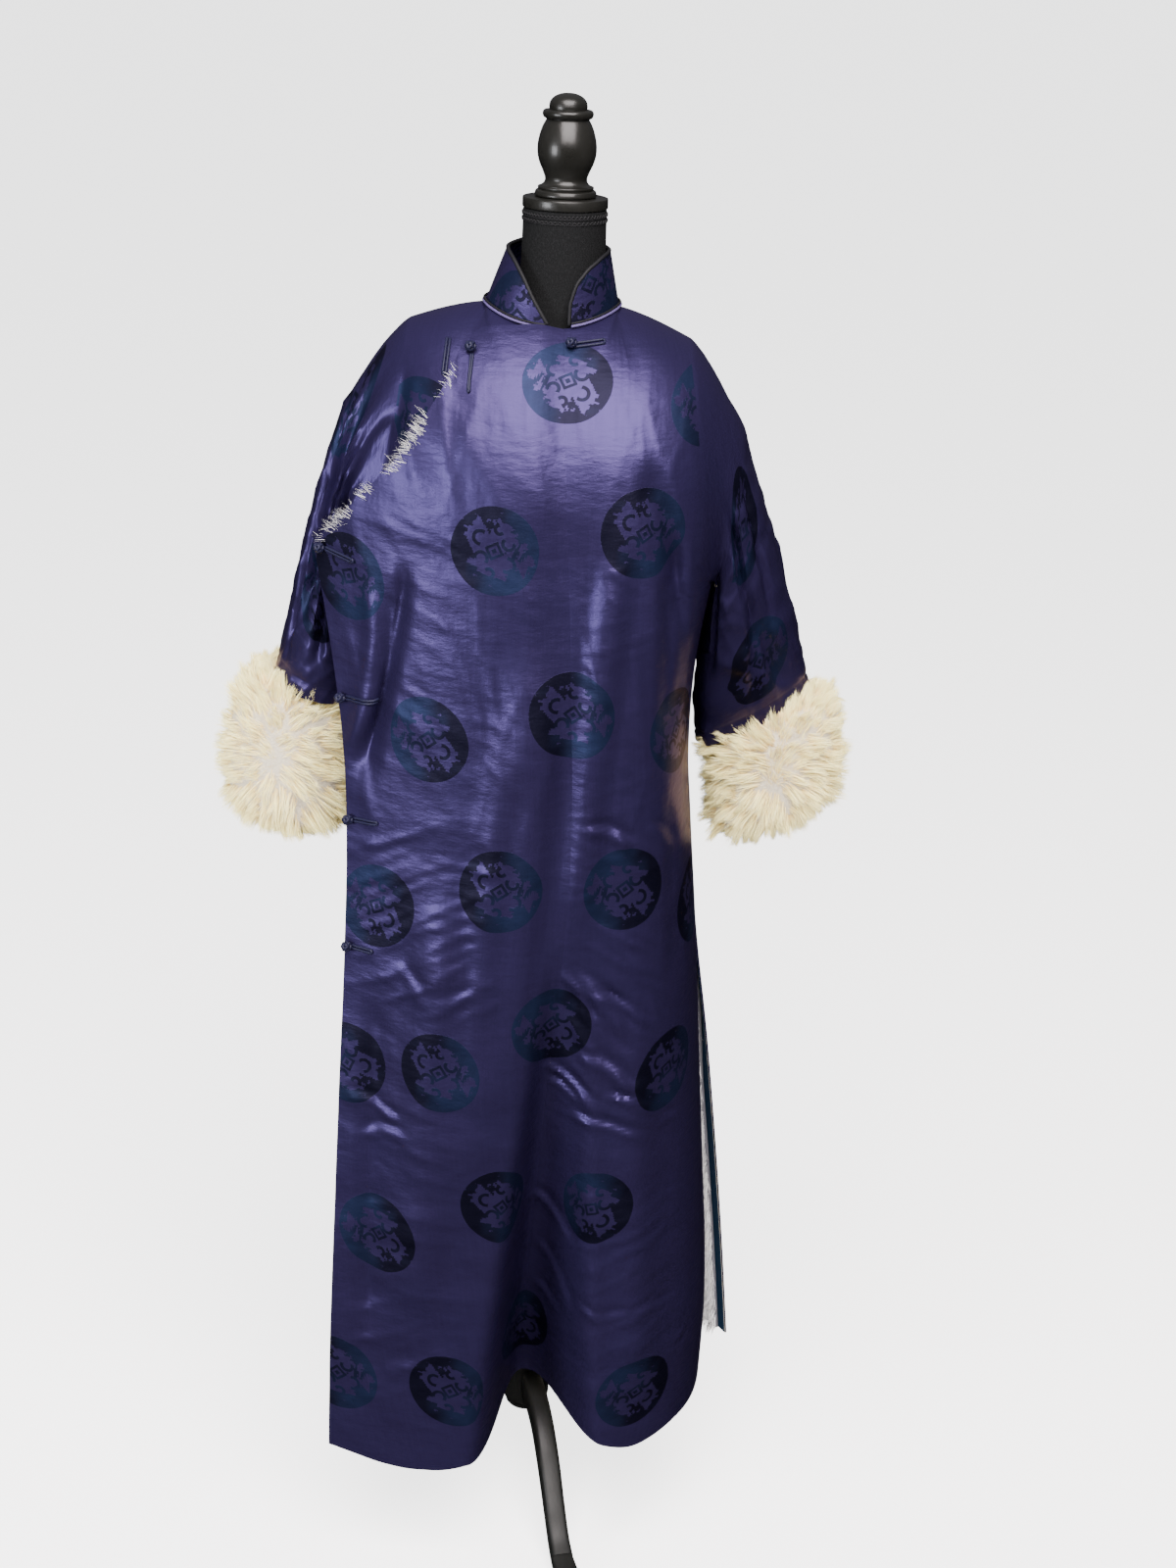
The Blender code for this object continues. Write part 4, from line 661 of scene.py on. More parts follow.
def front_detail(x, z):
    """The creases, wrinkles, puckers and the sunk seam of the front, as a depth."""
    _, seam, fade = front_frame(x, z)
    low = ramp((0.95 - z) / 0.35)
    drag = ripples(x, z, 5, 0.03, 0.11, 1.2, 0.45) * (DRAG + DRAG * low)
    pucker = ripples(x, z, 8, 0.012, 0.03, 1.35, 0.35) * (PUCKER + 0.00015 * low)
    strip = np.exp(-((x - seam - 0.016) / 0.012) ** 2) * ramp((z - 0.8) / 0.1) * ramp((1.24 - z) / 0.1)
    pulled = strip * ripples(x, z, 12, 0.009, 0.02, 1.5, 0.12) * PULLED
    sunk = SUNK_SEAM * np.exp(-np.abs(x - seam) / 0.0025) * ramp((1.3 - z) / 0.1)
    crumpled = 0.0 * (x + z)
    for left, right, bottom, top, seed, spacing, slant, depth in FRONT_WRINKLES:
        crumpled = crumpled - (depth * wrinkles(x, z, seed, spacing, slant)
                               * within_box(x, z, left, right, bottom, top))
    return fade * (crease_depth(x, z, FRONT_CREASES) + drag + pucker + pulled + crumpled) + sunk


def under_y(x, z):
    """The under front: it follows the front beneath the overlap, then turns in to the side seam."""
    level = np.minimum(z, CHEST)
    seam, side = section("seam", level), section("side", level)
    turn = np.clip((seam - x) / (seam - section("left", level)), 0.0, 1.0)
    fade = (1 - turn**6) * (1 - rise_above_chest(x, z) ** 4)
    y = dome(x, z, side + (front_section(x, level) - side) * np.sqrt(1 - turn**6))
    return y + fade * (fold_depth(x, z, UNDER_FOLDS) + UNDER_RIPPLE * ripples(x, z, 21, 0.02, 0.06, 0.2))


def back_y(x, z):
    """The back's outer face as a height field, with its flutes and ripples."""
    level = np.minimum(z, CHEST)
    side = back_section("side", level)
    width = np.where(x > 0, back_section("right", level), -back_section("left", level))
    out = np.clip(np.abs(x) / width, 0.0, 1.0)
    rounded, open_edge = (1 - out**2.5) ** (1 / 2.5), 1 - out**3
    profile = rounded + (open_edge - rounded) * ramp((SLIT_TOP - z) / 0.25)
    y = side + (section("back", level) - side) * profile
    fade = (1 - out**8) * (1 - rise_above_chest(x, z, True) ** 4)
    detail = BACK_RIPPLE * ripples(x, z, 31, 0.03, 0.11, 1.2, 0.5) + 0.0008 * np.exp(-np.abs(x) / 0.003)
    return dome(x, z, y, True) - fade * (fold_depth(x, z, BACK_FOLDS) + detail)


def hem_height(x, z):
    """Height of a row of the front: its level, moved by the hem's rise and fading 0.3 m above it."""
    rise = smooth_curve(x, FRONT_HEM[:, 0], FRONT_HEM[:, 1])
    return z + rise * np.clip(1 - (z - HEM) / 0.3, 0.0, 1.0)


# A panel's grid: places across, share of the width that ends on the neck hole and share at the armhole
ACROSS, NECK_SHARE, ARM_SHARE = 62, 0.5127, 0.837
BODY_ROWS, ARM_ROWS, DOME_ROWS = 250, 16, 44


def panel(inner, outer, neck_edge, tip, surface, back=False, low=HEM, on_seam=False):
    """Grid of a body panel: rows from the hem over the chest to the neck and shoulder line.

    Above the underarm the outer edge draws in along a quarter ellipse to the armhole. Above the chest each
    column runs to its own place on the neck hole or on the shoulder line.
    """
    rows = int(BODY_ROWS * (UNDERARM - low) / (UNDERARM - HEM))
    level = np.concatenate([np.linspace(low, UNDERARM, rows), np.linspace(UNDERARM, CHEST, ARM_ROWS)[1:]])
    steps = np.linspace(0, 1, ACROSS)
    share = 0.5 * steps + 0.5 * np.sin(0.5 * np.pi * steps)
    drawn_in = np.clip((level - UNDERARM) / (CHEST - UNDERARM), 0, 1)
    reach = 1 - (1 - ARM_SHARE) * np.sqrt(1 - (1 - drawn_in) ** 2)
    part = share[None, :] * reach[:, None]
    level = level[:, None]
    x = inner(level) + (outer(level) - inner(level)) * part
    z = level + 0 * x if back else hem_height(x, level + 0 * x)
    top = share * ARM_SHARE
    side = 1.0 if tip > 0 else -1.0
    start = math.asin(neck_sine(neck_edge))
    turn = start + (side * math.pi / 2 - start) * np.minimum(top / NECK_SHARE, 1.0)
    on_neck = NECK_X + NECK_HALF_WIDTH * np.sin(turn)
    past = np.maximum(top - NECK_SHARE, 0.0) / (1 - NECK_SHARE)
    top_x = on_neck + (tip - NECK_X - side * NECK_HALF_WIDTH) * past
    t = np.linspace(0, 1, DOME_ROWS)[1:, None]
    dome_x = x[-1:] + (top_x - x[-1:]) * ramp(t)
    dome_z = CHEST + (top_z(dome_x, back) - CHEST) * np.sin(0.5 * np.pi * t)
    if on_seam:
        dome_x = dome_x + (inner(dome_z[:, :1]) - dome_x[:, :1]) * (1 - share) ** 3
    x = np.concatenate([x, dome_x])
    z = np.concatenate([z, dome_z])
    return stacked(x, surface(x, z), z)


def laid_flat(points, surface, start):
    """Where each point lies on the cloth laid flat: the run of the surface from a start line at the same
    height, and the run of its profile from the chest."""
    x, z = points[..., 0], points[..., 2]
    from_x = start(np.minimum(z, CHEST))
    steps = np.linspace(0, 1, 20)
    low = from_x
    low_y = surface(low, z)
    run = 0.0 * x
    for step in steps[1:]:
        high = from_x + (x - from_x) * step
        high_y = surface(high, z)
        run = run + np.hypot(high - low, high_y - low_y)
        low, low_y = high, high_y
    heights = np.linspace(0.1, 1.5, 300)
    profile = surface(0.02 + 0 * heights, heights)
    climb = run_of(stacked(heights, profile))
    climb -= np.interp(CHEST, heights, climb)
    return stacked(run * np.sign(x - from_x), np.interp(z, heights, climb))


ROUNDEL_RADIUS = 0.0475


def roundel_map(flat, faces, centres):
    """Each face takes the nearest roundel, and its corners are measured from that centre in radii, turned
    by the roundel's own angle. centres holds rows of place across, place along and angle in degrees."""
    corners = flat.reshape(-1, 2)[faces]
    apart = corners.mean(axis=1)[:, None] - centres[None, :, :2]
    nearest = np.argmin((apart**2).sum(axis=-1), axis=1)
    local = (corners - centres[nearest, None, :2]) / ROUNDEL_RADIUS
    turn = np.radians(centres[nearest, 2])[:, None]
    return stacked(local[..., 0] * np.cos(turn) - local[..., 1] * np.sin(turn),
                   local[..., 0] * np.sin(turn) + local[..., 1] * np.cos(turn)).reshape(-1, 2)


# Roundels of the front: x, z and angle, in staggered rows as they lie on the hanging robe
FRONT_ROUNDELS = [
    (0.011, 1.425, 200), (-0.059, 1.255, 20), (0.098, 1.277, 15), (-0.218, 1.204, 30), (-0.126, 1.04, 190),
    (0.03, 1.081, 10), (0.143, 1.05, 170), (-0.181, 0.838, 200), (-0.043, 0.88, 10), (0.094, 0.883, 190),
    (0.171, 0.834, 20), (-0.106, 0.658, 15), (0.018, 0.714, 190), (0.151, 0.654, 20), (-0.213, 0.646, 160),
    (-0.172, 0.443, 190), (-0.03, 0.492, 10), (0.072, 0.488, 200), (-0.085, 0.246, 20), (0.134, 0.24, 190),
    (-0.22, 0.253, 10), (-0.009, 0.266, 200), (0.157, 1.403, 195)]
UNDER_ROUNDELS = [(-0.142, 1.378, 190), (-0.225, 1.385, 20), (-0.14, 1.19, 20), (-0.19, 0.98, 190)]


def scattered(first, last, low, high, apart=0.165, row=0.185):
    """Staggered rows of roundels over a flat cloth, every other one upside down."""
    centres = []
    for j in range(int((high - low) / row) + 1):
        shift = 0.5 * apart * (j % 2)
        for i in range(int((last - first) / apart) + 1):
            centres.append((first + shift + i * apart, low + j * row, 12 + 180 * ((i + j) % 2)))
    return np.array(centres)


# The damask's roundel: a dark disc whose clouds leave patches of the ground, with a lozenge and six
# scrolls in its middle. From places in radii the group gives 1 where the dark figure is, and the share of
# a painted teal sheen in the figure's colour, which changes softly across it and is strongest on one side.
roundel, given, result = shader_group("cloud_roundel", {"Vector": "Vector"},
                                      {"Figure": "Float", "Painted_Teal_Sheen": "Float"})
split = add_node(roundel, "SeparateXYZ", {0: given.outputs["Vector"]})
u, v = split.outputs[0], split.outputs[1]


def distance(tree, u, v, centre_u=0.0, centre_v=0.0):
    """Distance of a place from a centre."""
    a = calc(tree, "SUBTRACT", u, centre_u)
    b = calc(tree, "SUBTRACT", v, centre_v)
    return calc(tree, "SQRT", calc(tree, "ADD", calc(tree, "MULTIPLY", a, a), calc(tree, "MULTIPLY", b, b)))


def within(tree, value, middle, half_width):
    """1 where a value lies within a half width of the middle."""
    return calc(tree, "COMPARE", value, middle, half_width)


from_centre = distance(roundel, u, v)
stepped = add_node(roundel, "VectorMath", {0: given.outputs["Vector"], 1: (0.045, 0.045, 0.045)},
                   operation="SNAP").outputs[0]
clouds = noise_of(roundel, stepped, 2.1, 4.0, Roughness=0.62, Distortion=0.9)
bias = calc(roundel, "MULTIPLY_ADD", calc(roundel, "POWER", from_centre, 1.6), 0.36, 0.315)
lines = [calc(roundel, "LESS_THAN", clouds, bias)]
for centre_u, centre_v, size, keep_u, keep_v in (
        (-0.4, 0.16, 0.15, 1, 0), (-0.22, -0.27, 0.14, 0, -1), (0.38, -0.18, 0.16, -1, 0),
        (0.24, 0.28, 0.13, 0, 1), (-0.06, 0.5, 0.1, 1, 1), (0.05, -0.52, 0.1, -1, -1)):
    arc = within(roundel, distance(roundel, u, v, centre_u, centre_v), size, 0.04)
    open_u, open_v = (calc(roundel, "MULTIPLY", calc(roundel, "SUBTRACT", place, centre), float(keep))
                      for place, centre, keep in ((u, centre_u, keep_u), (v, centre_v, keep_v)))
    opened = calc(roundel, "LESS_THAN", calc(roundel, "ADD", open_u, open_v), 0.055)
    lines.append(calc(roundel, "MULTIPLY", arc, opened))
lozenge = calc(roundel, "ADD", calc(roundel, "ABSOLUTE", u), calc(roundel, "ABSOLUTE", v))
lines.append(within(roundel, lozenge, 0.19, 0.045))
lines.append(calc(roundel, "LESS_THAN", lozenge, 0.07))
figure = lines[0]
for line in lines[1:]:
    figure = calc(roundel, "MAXIMUM", figure, line)
disc = calc(roundel, "LESS_THAN", from_centre, 1.0)
roundel.links.new(calc(roundel, "MULTIPLY", figure, disc), result.inputs["Figure"])
# A painted teal sheen: it rises towards one side of each roundel and is softened by noise
painted_sheen_side = calc(roundel, "MULTIPLY_ADD", u, 0.35, noise_of(roundel, given.outputs["Vector"], 0.9))
painted_sheen_share = add_node(roundel, "MapRange", {"Value": painted_sheen_side, "From Min": 0.35, "From Max": 0.75})
roundel.links.new(painted_sheen_share.outputs[0], result.inputs["Painted_Teal_Sheen"])

SILK_GROUND, SILK_BLUER = (0.0215, 0.0158, 0.053), (0.02, 0.021, 0.078)
# The figure's own navy, and the lighter teal painted on it as sheen
FIGURE_NAVY = (0.0025, 0.003, 0.009)
FIGURE_TEAL_SHEEN = (0.0075, 0.0135, 0.038)


def damask(name):
    """Satin ground with a duller figure: fine warp streaks, slubs and a soft sheen across the folds."""
    made, tree, shader = finish_of(name, SILK_GROUND, 0.42, Specular_IOR_Level=0.22, Metallic=0.68,
                                   Specular_Tint=(0.9, 0.75, 1.0, 1.0))
    threads = place_of(tree, "threads")
    warp = use_streaks(tree, threads, 1500.0, 28.0)
    slub = use_streaks(tree, threads, 260.0, 9.0)
    uneven = noise_of(tree, threads, 9.0, 3.0)
    streak = calc(tree, "MULTIPLY_ADD", warp, 0.5, calc(tree, "MULTIPLY", slub, 0.5))
    darker, lighter = (tuple(scale * part for part in SILK_GROUND) for scale in (0.8, 1.22))
    ground = blend(tree, streak, darker, lighter)
    ground = blend(tree, calc(tree, "MULTIPLY", uneven, 0.25), ground, SILK_BLUER)
    rough = calc(tree, "MULTIPLY_ADD", warp, 0.14, 0.3)
    height = calc(tree, "MULTIPLY", streak, 0.25)
    woven = add_node(tree, "Group", node_tree=roundel)
    set_sockets(tree, woven, {"Vector": place_of(tree, "roundels")})
    figure = woven.outputs["Figure"]
    # The figure's colour: navy, with a painted teal sheen on one side
    teal = blend(tree, woven.outputs["Painted_Teal_Sheen"], FIGURE_NAVY, FIGURE_TEAL_SHEEN)
    ground = blend(tree, calc(tree, "MULTIPLY", figure, 0.95), ground, teal)
    rough = calc(tree, "ADD", rough, calc(tree, "MULTIPLY", figure, 0.12))
    height = calc(tree, "ADD", height, calc(tree, "MULTIPLY", figure, 0.35))
    set_sockets(tree, shader, {"Base Color": ground, "Roughness": rough})
    crumple = calc(tree, "ADD", use_streaks(tree, threads, 34.0, 80.0), use_streaks(tree, threads, 30.0, 9.0))
    soft = add_node(tree, "Bump", {"Strength": 0.6, "Distance": 0.0013, "Height": crumple})
    use_bump(tree, shader, 0.35, 0.0005, height, soft.outputs[0])
    return made


def fleece():
    """The fur lining's face inside the robe: short cream wool in soft tufts."""
    made, tree, shader = finish_of("fur_lining", (0.72, 0.64, 0.48), 0.95, Sheen_Weight=0.4)
    place = place_of(tree)
    tufts = noise_of(tree, place, 130.0, 6.0, Roughness=0.7)
    use_colours(tree, shader, tufts, (0.5, 0.42, 0.28), (0.86, 0.8, 0.66))
    use_bump(tree, shader, 1.0, 0.006, tufts)
    return made


silk = damask("blue_violet_damask")
lining = fleece()
CLOTH = 0.0022


def wall(piece, thickness=CLOTH, inside=None):
    """Give a sheet its thickness inwards, with the lining on its inner face and crisp cut edges."""
    if inside:
        piece.data.materials.append(inside)
    made = piece.modifiers.new("Wall", "SOLIDIFY")
    made.thickness = thickness
    made.offset = -1.0
    if inside:
        made.material_offset = 1
    thick = bpy.data.meshes.new_from_object(piece.evaluated_get(bpy.context.evaluated_depsgraph_get()))
    piece.modifiers.clear()
    piece.data = thick
    thick.set_sharp_from_angle(angle=math.radians(50))


def cloth(name, grids, centres, node):
    """A sheet of damask from grids of (points, flat places, flip), merged where their edges meet."""
    pairs, threads, roundels = [], [], []
    for (points, places, flip), middles in zip(grids, centres):
        pairs.append((points.reshape(-1, 3), grid_faces(*points.shape[:2], flip=flip)))
        threads.append(places.reshape(-1, 2))
        roundels.append(roundel_map(places, pairs[-1][1], middles))
    maps = {"threads": np.concatenate(threads), "roundels": np.concatenate(roundels)}
    points, faces = joined(pairs)
    piece = make_piece(name, points, faces, silk, "silk", maps, (node,))
    mend(piece.data, 2e-5)
    wall(piece, inside=lining)


def front_face(x, z):
    """The front's outer face with all its wrinkles."""
    return front_y(x, z) + front_detail(x, z)


def seam_line(z):
    """x of the centre front seam."""
    return section("seam", z)


def upright(x):
    """An upright edge at one x, for every height."""
    return lambda z: x + 0 * z


def front_flat(points, surface=front_y):
    """Points of a front laid flat from the centre front seam."""
    return laid_flat(points, surface, seam_line)


def back_flat(points):
    """Points of the back laid flat from its middle."""
    return laid_flat(points, back_y, upright(0))


def back_panel(side, edge, tip):
    """Half of the back, from its edge on the centre seam to its side, right or left in the photograph."""
    return panel(upright(edge), lambda z: back_section(side, z), edge, tip, back_y, back=True)


def flat_centres(rows, surface):
    """Roundels given by x, z and angle on a hanging front, on the cloth laid flat."""
    x, z, angle = np.array(rows, dtype=float).T
    return np.column_stack([front_flat(stacked(x, 0 * x, z), surface), angle])


left_front = panel(seam_line, lambda z: section("right", z), 0.004, TIP_RIGHT[0], front_face, on_seam=True)
left_back = back_panel("right", GAP / 2, TIP_RIGHT[0])
right_back = back_panel("left", -GAP / 2, TIP_LEFT[0])
under_front = panel(upright(UNDER_FRONT_X), lambda z: section("left", z), UNDER_FRONT_X, TIP_LEFT[0], under_y,
                    low=SLIT_TOP)
front_centres = flat_centres(FRONT_ROUNDELS, front_y)
back_centres = scattered(-0.45, 0.45, -1.02, 0.3)
cloth("body_left_silk", [(left_front, front_flat(left_front), False),
                         (left_back, back_flat(left_back), True)],
      [front_centres, back_centres], "body_left")
cloth("body_right_silk", [(right_back, back_flat(right_back), False),
                          (under_front, front_flat(under_front, under_y), True)],
      [back_centres, flat_centres(UNDER_ROUNDELS, under_y)], "body_right")

# The front overlap. One panel of the same damask, sewn to the left body down the centre and free along its
# top, its slanting edge and its side. It lies a fur's thickness off the under front.
OVERLAP_EDGE = np.array([
    (0.004, 1.4695), (-0.045, 1.4675), (-0.08, 1.463), (-0.098, 1.449), (-0.109, 1.425), (-0.127, 1.393),
    (-0.157, 1.345), (-0.2, 1.295), (-0.234, 1.256), (-0.2545, OVERLAP_CORNER)])


def front_normal(x, z, surface=front_y):
    """Outward unit normal of a front height field, from differences a millimetre apart."""
    step = 0.001
    slope_x = (surface(x + step, z) - surface(x - step, z)) / (2 * step)
    slope_z = (surface(x, z + step) - surface(x, z - step)) / (2 * step)
    return unit(stacked(slope_x, -np.ones_like(slope_x), slope_z))


def overlap_face(x, z):
    """Points of the overlap's outer face: the front, lifted off the under front away from the seam."""
    lift = LIFT * ramp((section("seam", np.minimum(z, CHEST)) - 0.004 - x) / 0.042)
    points = stacked(x, front_y(x, z), z) + front_normal(x, z) * lift[..., None]
    points[..., 1] += front_detail(x, z)
    return points


def overlap_grid(columns=66, low_rows=260, high_rows=70):
    """Rows up to the overlap's corner, then columns that slant up to places spread along its edge."""
    share = np.linspace(0, 1, columns)[None, :]
    level = np.linspace(HEM, OVERLAP_CORNER, low_rows)[:, None]
    seam_x = section("seam", level)
    low_x = seam_x + (section("edge_x", level) - seam_x) * share
    low_z = hem_height(low_x, level + 0 * low_x)
    run = run_of(OVERLAP_EDGE)
    edge_x, edge_z = (smooth_curve(share[0] * run[-1], run, OVERLAP_EDGE[:, k]) for k in (0, 1))
    climb = np.linspace(0, 1, high_rows)[1:, None]
    high_z = low_z[-1] + (edge_z - low_z[-1]) * climb
    straight_x = low_x[-1] + (edge_x - low_x[-1]) * climb
    on_seam = section("seam", high_z[:, :1]) - straight_x[:, :1]
    high_x = straight_x + on_seam * (1 - share) ** 3
    return np.concatenate([low_x, high_x]), np.concatenate([low_z, high_z])


overlap = overlap_face(*overlap_grid())
cloth("front_overlap_silk", [(overlap, front_flat(overlap), True)], [front_centres], "front_overlap")

# The sleeves. They are cut in one with the body, and hang from the shoulder in deep upright folds to a
# straight end, where a band of the same silk is turned up over the fur.
# Rings: outer end's x and z, inner end's x and z, half depth and y of the middle
SLEEVE_LEFT = np.array([
    (0.19, 1.398, 0.182, 1.19, 0.083, 0.01), (0.205, 1.356, 0.178, 1.172, 0.081, 0.006),
    (0.227, 1.29, 0.172, 1.148, 0.077, 0.004), (0.246, 1.238, 0.168, 1.118, 0.072, 0.006),
    (0.268, 1.168, 0.166, 1.078, 0.065, 0.012), (0.284, 1.11, 0.166, 1.032, 0.056, 0.02),
    (0.299, 1.06, 0.1715, 0.985, 0.046, 0.03)])
SLEEVE_RIGHT = np.array([
    (-0.214, 1.426, -0.2085, 1.19, 0.083, 0.014), (-0.233, 1.373, -0.212, 1.174, 0.081, 0.015),
    (-0.253, 1.316, -0.214, 1.15, 0.078, 0.017), (-0.271, 1.25, -0.216, 1.12, 0.075, 0.019),
    (-0.286, 1.19, -0.218, 1.09, 0.072, 0.021), (-0.3, 1.125, -0.22, 1.06, 0.069, 0.023),
    (-0.315, 1.056, -0.223, 1.03, 0.065, 0.025)])
# Folds: start and end along the sleeve, turn from its top over the front, slant, half width, depth
SLEEVE_FOLDS_LEFT = [
    (0.1, 0.75, 132.0, 10.0, 16.0, 0.016), (0.5, 1.0, 105.0, -60.0, 18.0, 0.014),
    (0.15, 0.9, 235.0, 15.0, 24.0, 0.01), (0.2, 0.95, 300.0, -20.0, 24.0, 0.008),
    (0.05, 0.62, 86.0, -10.0, 9.0, 0.012), (0.4, 0.97, 62.0, 26.0, 10.0, 0.011),
    (0.1, 0.7, 48.0, 6.0, 8.0, 0.009)]
SLEEVE_FOLDS_RIGHT = [
    (0.0, 0.8, 46.0, 14.0, 15.0, 0.022), (0.03, 0.92, 84.0, 8.0, 13.0, 0.017),
    (0.15, 0.9, 235.0, 15.0, 24.0, 0.01), (0.2, 0.95, 300.0, -20.0, 24.0, 0.008),
    (0.02, 0.7, 65.0, 8.0, 7.0, 0.012), (0.05, 0.97, 26.0, 16.0, 9.0, 0.013),
    (0.05, 0.8, 104.0, 4.0, 9.0, 0.012)]
SLEEVE_START, SLEEVE_HALF_DEPTH, SLEEVE_LENGTH, BAND_WIDTH = 0.004, 0.075, 0.36, 0.017


def end_direction(ring):
    """Unit vector square to a sleeve's last ring, out of the sleeve."""
    direction = np.array([ring[1] - ring[3], 0.0, ring[2] - ring[0]])
    return unit(direction) * -np.sign(direction[2])


def sleeve_grid(front, back, rings, folds, seed, places=90):
    """Rings of a sleeve: the armhole's edge, which eases into ellipses read from the rings' table, each
    drawn in along its folds. Also their places on the flat cloth."""
    first = front.shape[0] - ARM_ROWS - DOME_ROWS + 1
    down = front[first:, -1][::-1]
    up = back[-len(down) + 1:-1, -1]
    loop = np.concatenate([down, up])
    lead = unit(np.concatenate([(front[first:, -1] - front[first:, -3])[::-1],
                                (back[:, -1] - back[:, -3])[-len(down) + 1:-1]]))
    room = np.abs(loop[:, 1] - loop[-np.arange(len(loop)) % len(loop), 1])
    middle = 0.5 * (loop.max(axis=0) + loop.min(axis=0))
    half = 0.5 * (loop.max(axis=0) - loop.min(axis=0))
    turn = np.unwrap(np.arctan2(-(loop[:, 1] - middle[1]) / half[1], (loop[:, 2] - middle[2]) / half[2]))
    degrees = np.degrees(turn)[None, :] % 360.0
    place = np.linspace(0, 1, places)[:, None]
    ring = [smooth_curve(place, np.linspace(0, 1, len(rings)), rings[:, k]) for k in range(6)]
    outer = stacked(ring[0], 0 * place, ring[1])
    inner = stacked(ring[2], 0 * place, ring[3])
    centre = 0.5 * (outer + inner) + stacked(0 * place, ring[5], 0 * place)
    sink = 0 * place * turn
    for start, end, at, slant, half_width, depth in folds:
        apart = (degrees - at - slant * place + 180.0) % 360.0 - 180.0
        sink = sink + (depth * np.cos(0.5 * np.pi * np.clip(apart / half_width, -1, 1)) ** 2
                       * ramp((place - start) / 0.2) * ramp((end - place) / 0.2))
    lie = (turn * 0.07, place * 0.4)
    sink = sink + 0.002 * ripples(*lie, seed, 0.02, 0.08, 1.2) * ramp(place / 0.1)
    sink = sink - 0.006 * wrinkles(*lie, seed + 1, 0.04, 30.0) * ramp(place / 0.2)
    sink = sink + 0.002 * np.exp(-(((1 - place) * SLEEVE_LENGTH - BAND_WIDTH) / 0.003) ** 2)
    scale = (1 - sink / SLEEVE_HALF_DEPTH)[..., None]
    depth_vector = stacked(0 * place, -ring[4], 0 * place)
    shape = (centre + np.cos(turn)[None, :, None] * scale * 0.5 * (outer - inner)
             + np.sin(turn)[None, :, None] * scale * depth_vector)
    ease = ramp((place - 0.02) / 0.16)[..., None]
    start_loop = loop + np.minimum(0.16 * place, 0.3 * room[None, :])[..., None] * lead
    shape = start_loop * (1 - ease) + shape * ease
    shape = np.concatenate([shape, shape[-1:] + SLEEVE_START * end_direction(rings[-1])])
    shape = np.concatenate([shape, shape[:, :1]], axis=1)
    around = np.cumsum(np.linalg.norm(np.diff(shape, axis=1, prepend=shape[:, :1]), axis=-1), axis=1)
    along = np.cumsum(np.linalg.norm(np.diff(shape, axis=0, prepend=shape[:1]), axis=-1), axis=0)
    return shape, stacked(around, -along.mean(axis=1, keepdims=True) + 0 * along)


def nearest_flat(points, places, targets):
    """Flat places of the points in front that lie nearest to given x and z."""
    flat_points, flat_places = points.reshape(-1, 3), places.reshape(-1, 2)
    hidden = 10.0 * (flat_points[:, 1] > points[..., 1].mean())
    picks = [np.argmin(np.hypot(flat_points[:, 0] - x, flat_points[:, 2] - z) + hidden)
             for x, z, _ in targets]
    return np.column_stack([flat_places[picks], [angle for _, _, angle in targets]])


def sleeve(side, grid, flip, seen, behind):
    """A sleeve with its roundels: two seen in front, and two behind, measured from those."""
    points, places = grid
    centres = nearest_flat(points, places, seen)
    centres = np.concatenate([centres, centres * (1, 1, 0) + behind])
    cloth("sleeve_" + side + "_silk", [(points, places, flip)], [centres], "sleeve_" + side)


sleeve("left", sleeve_grid(left_front, left_back, SLEEVE_LEFT, SLEEVE_FOLDS_LEFT, 41), False,
       [(0.206, 1.262, 20), (0.236, 1.105, 190)], [(0.21, 0.06, 20), (0.19, -0.02, 200)])
sleeve("right", sleeve_grid(under_front, right_back, SLEEVE_RIGHT, SLEEVE_FOLDS_RIGHT, 43), True,
       [(-0.222, 1.375, 20), (-0.262, 1.17, 190)], [(0.24, 0.02, 20), (0.22, 0.03, 200)])

# The fur cuffs. The long cream fur of the lining is turned out over each sleeve end. A felted hide gives
# the body of the cuff, and thousands of fine tapering hairs stand out of it in soft tufts.
CUFF_LEFT = np.array([
    (0.344, 1.05, 0.172, 0.954, 0.073, 0.031), (0.355, 0.995, 0.176, 0.918, 0.078, 0.032),
    (0.352, 0.945, 0.18, 0.886, 0.072, 0.033), (0.325, 0.916, 0.198, 0.873, 0.052, 0.034)])
CUFF_RIGHT = np.array([
    (-0.376, 1.03, -0.204, 0.998, 0.082, 0.025), (-0.394, 0.958, -0.203, 0.95, 0.088, 0.026),
    (-0.383, 0.902, -0.211, 0.89, 0.08, 0.027), (-0.34, 0.872, -0.24, 0.868, 0.058, 0.028)])
CUFF_BORE, CUFF_HIDE, CUFF_SKIN, ROOT_REACH = 0.45, 0.8, 0.985, 0.78
LOCKS, CUFF_HAIRS = 520, 24000
# Hairs: length and width, each with the most that chance adds to it
HAIR_LENGTH, HAIR_LENGTH_MORE, HAIR_WIDTH, HAIR_WIDTH_MORE = 0.017, 0.009, 0.0007, 0.0004


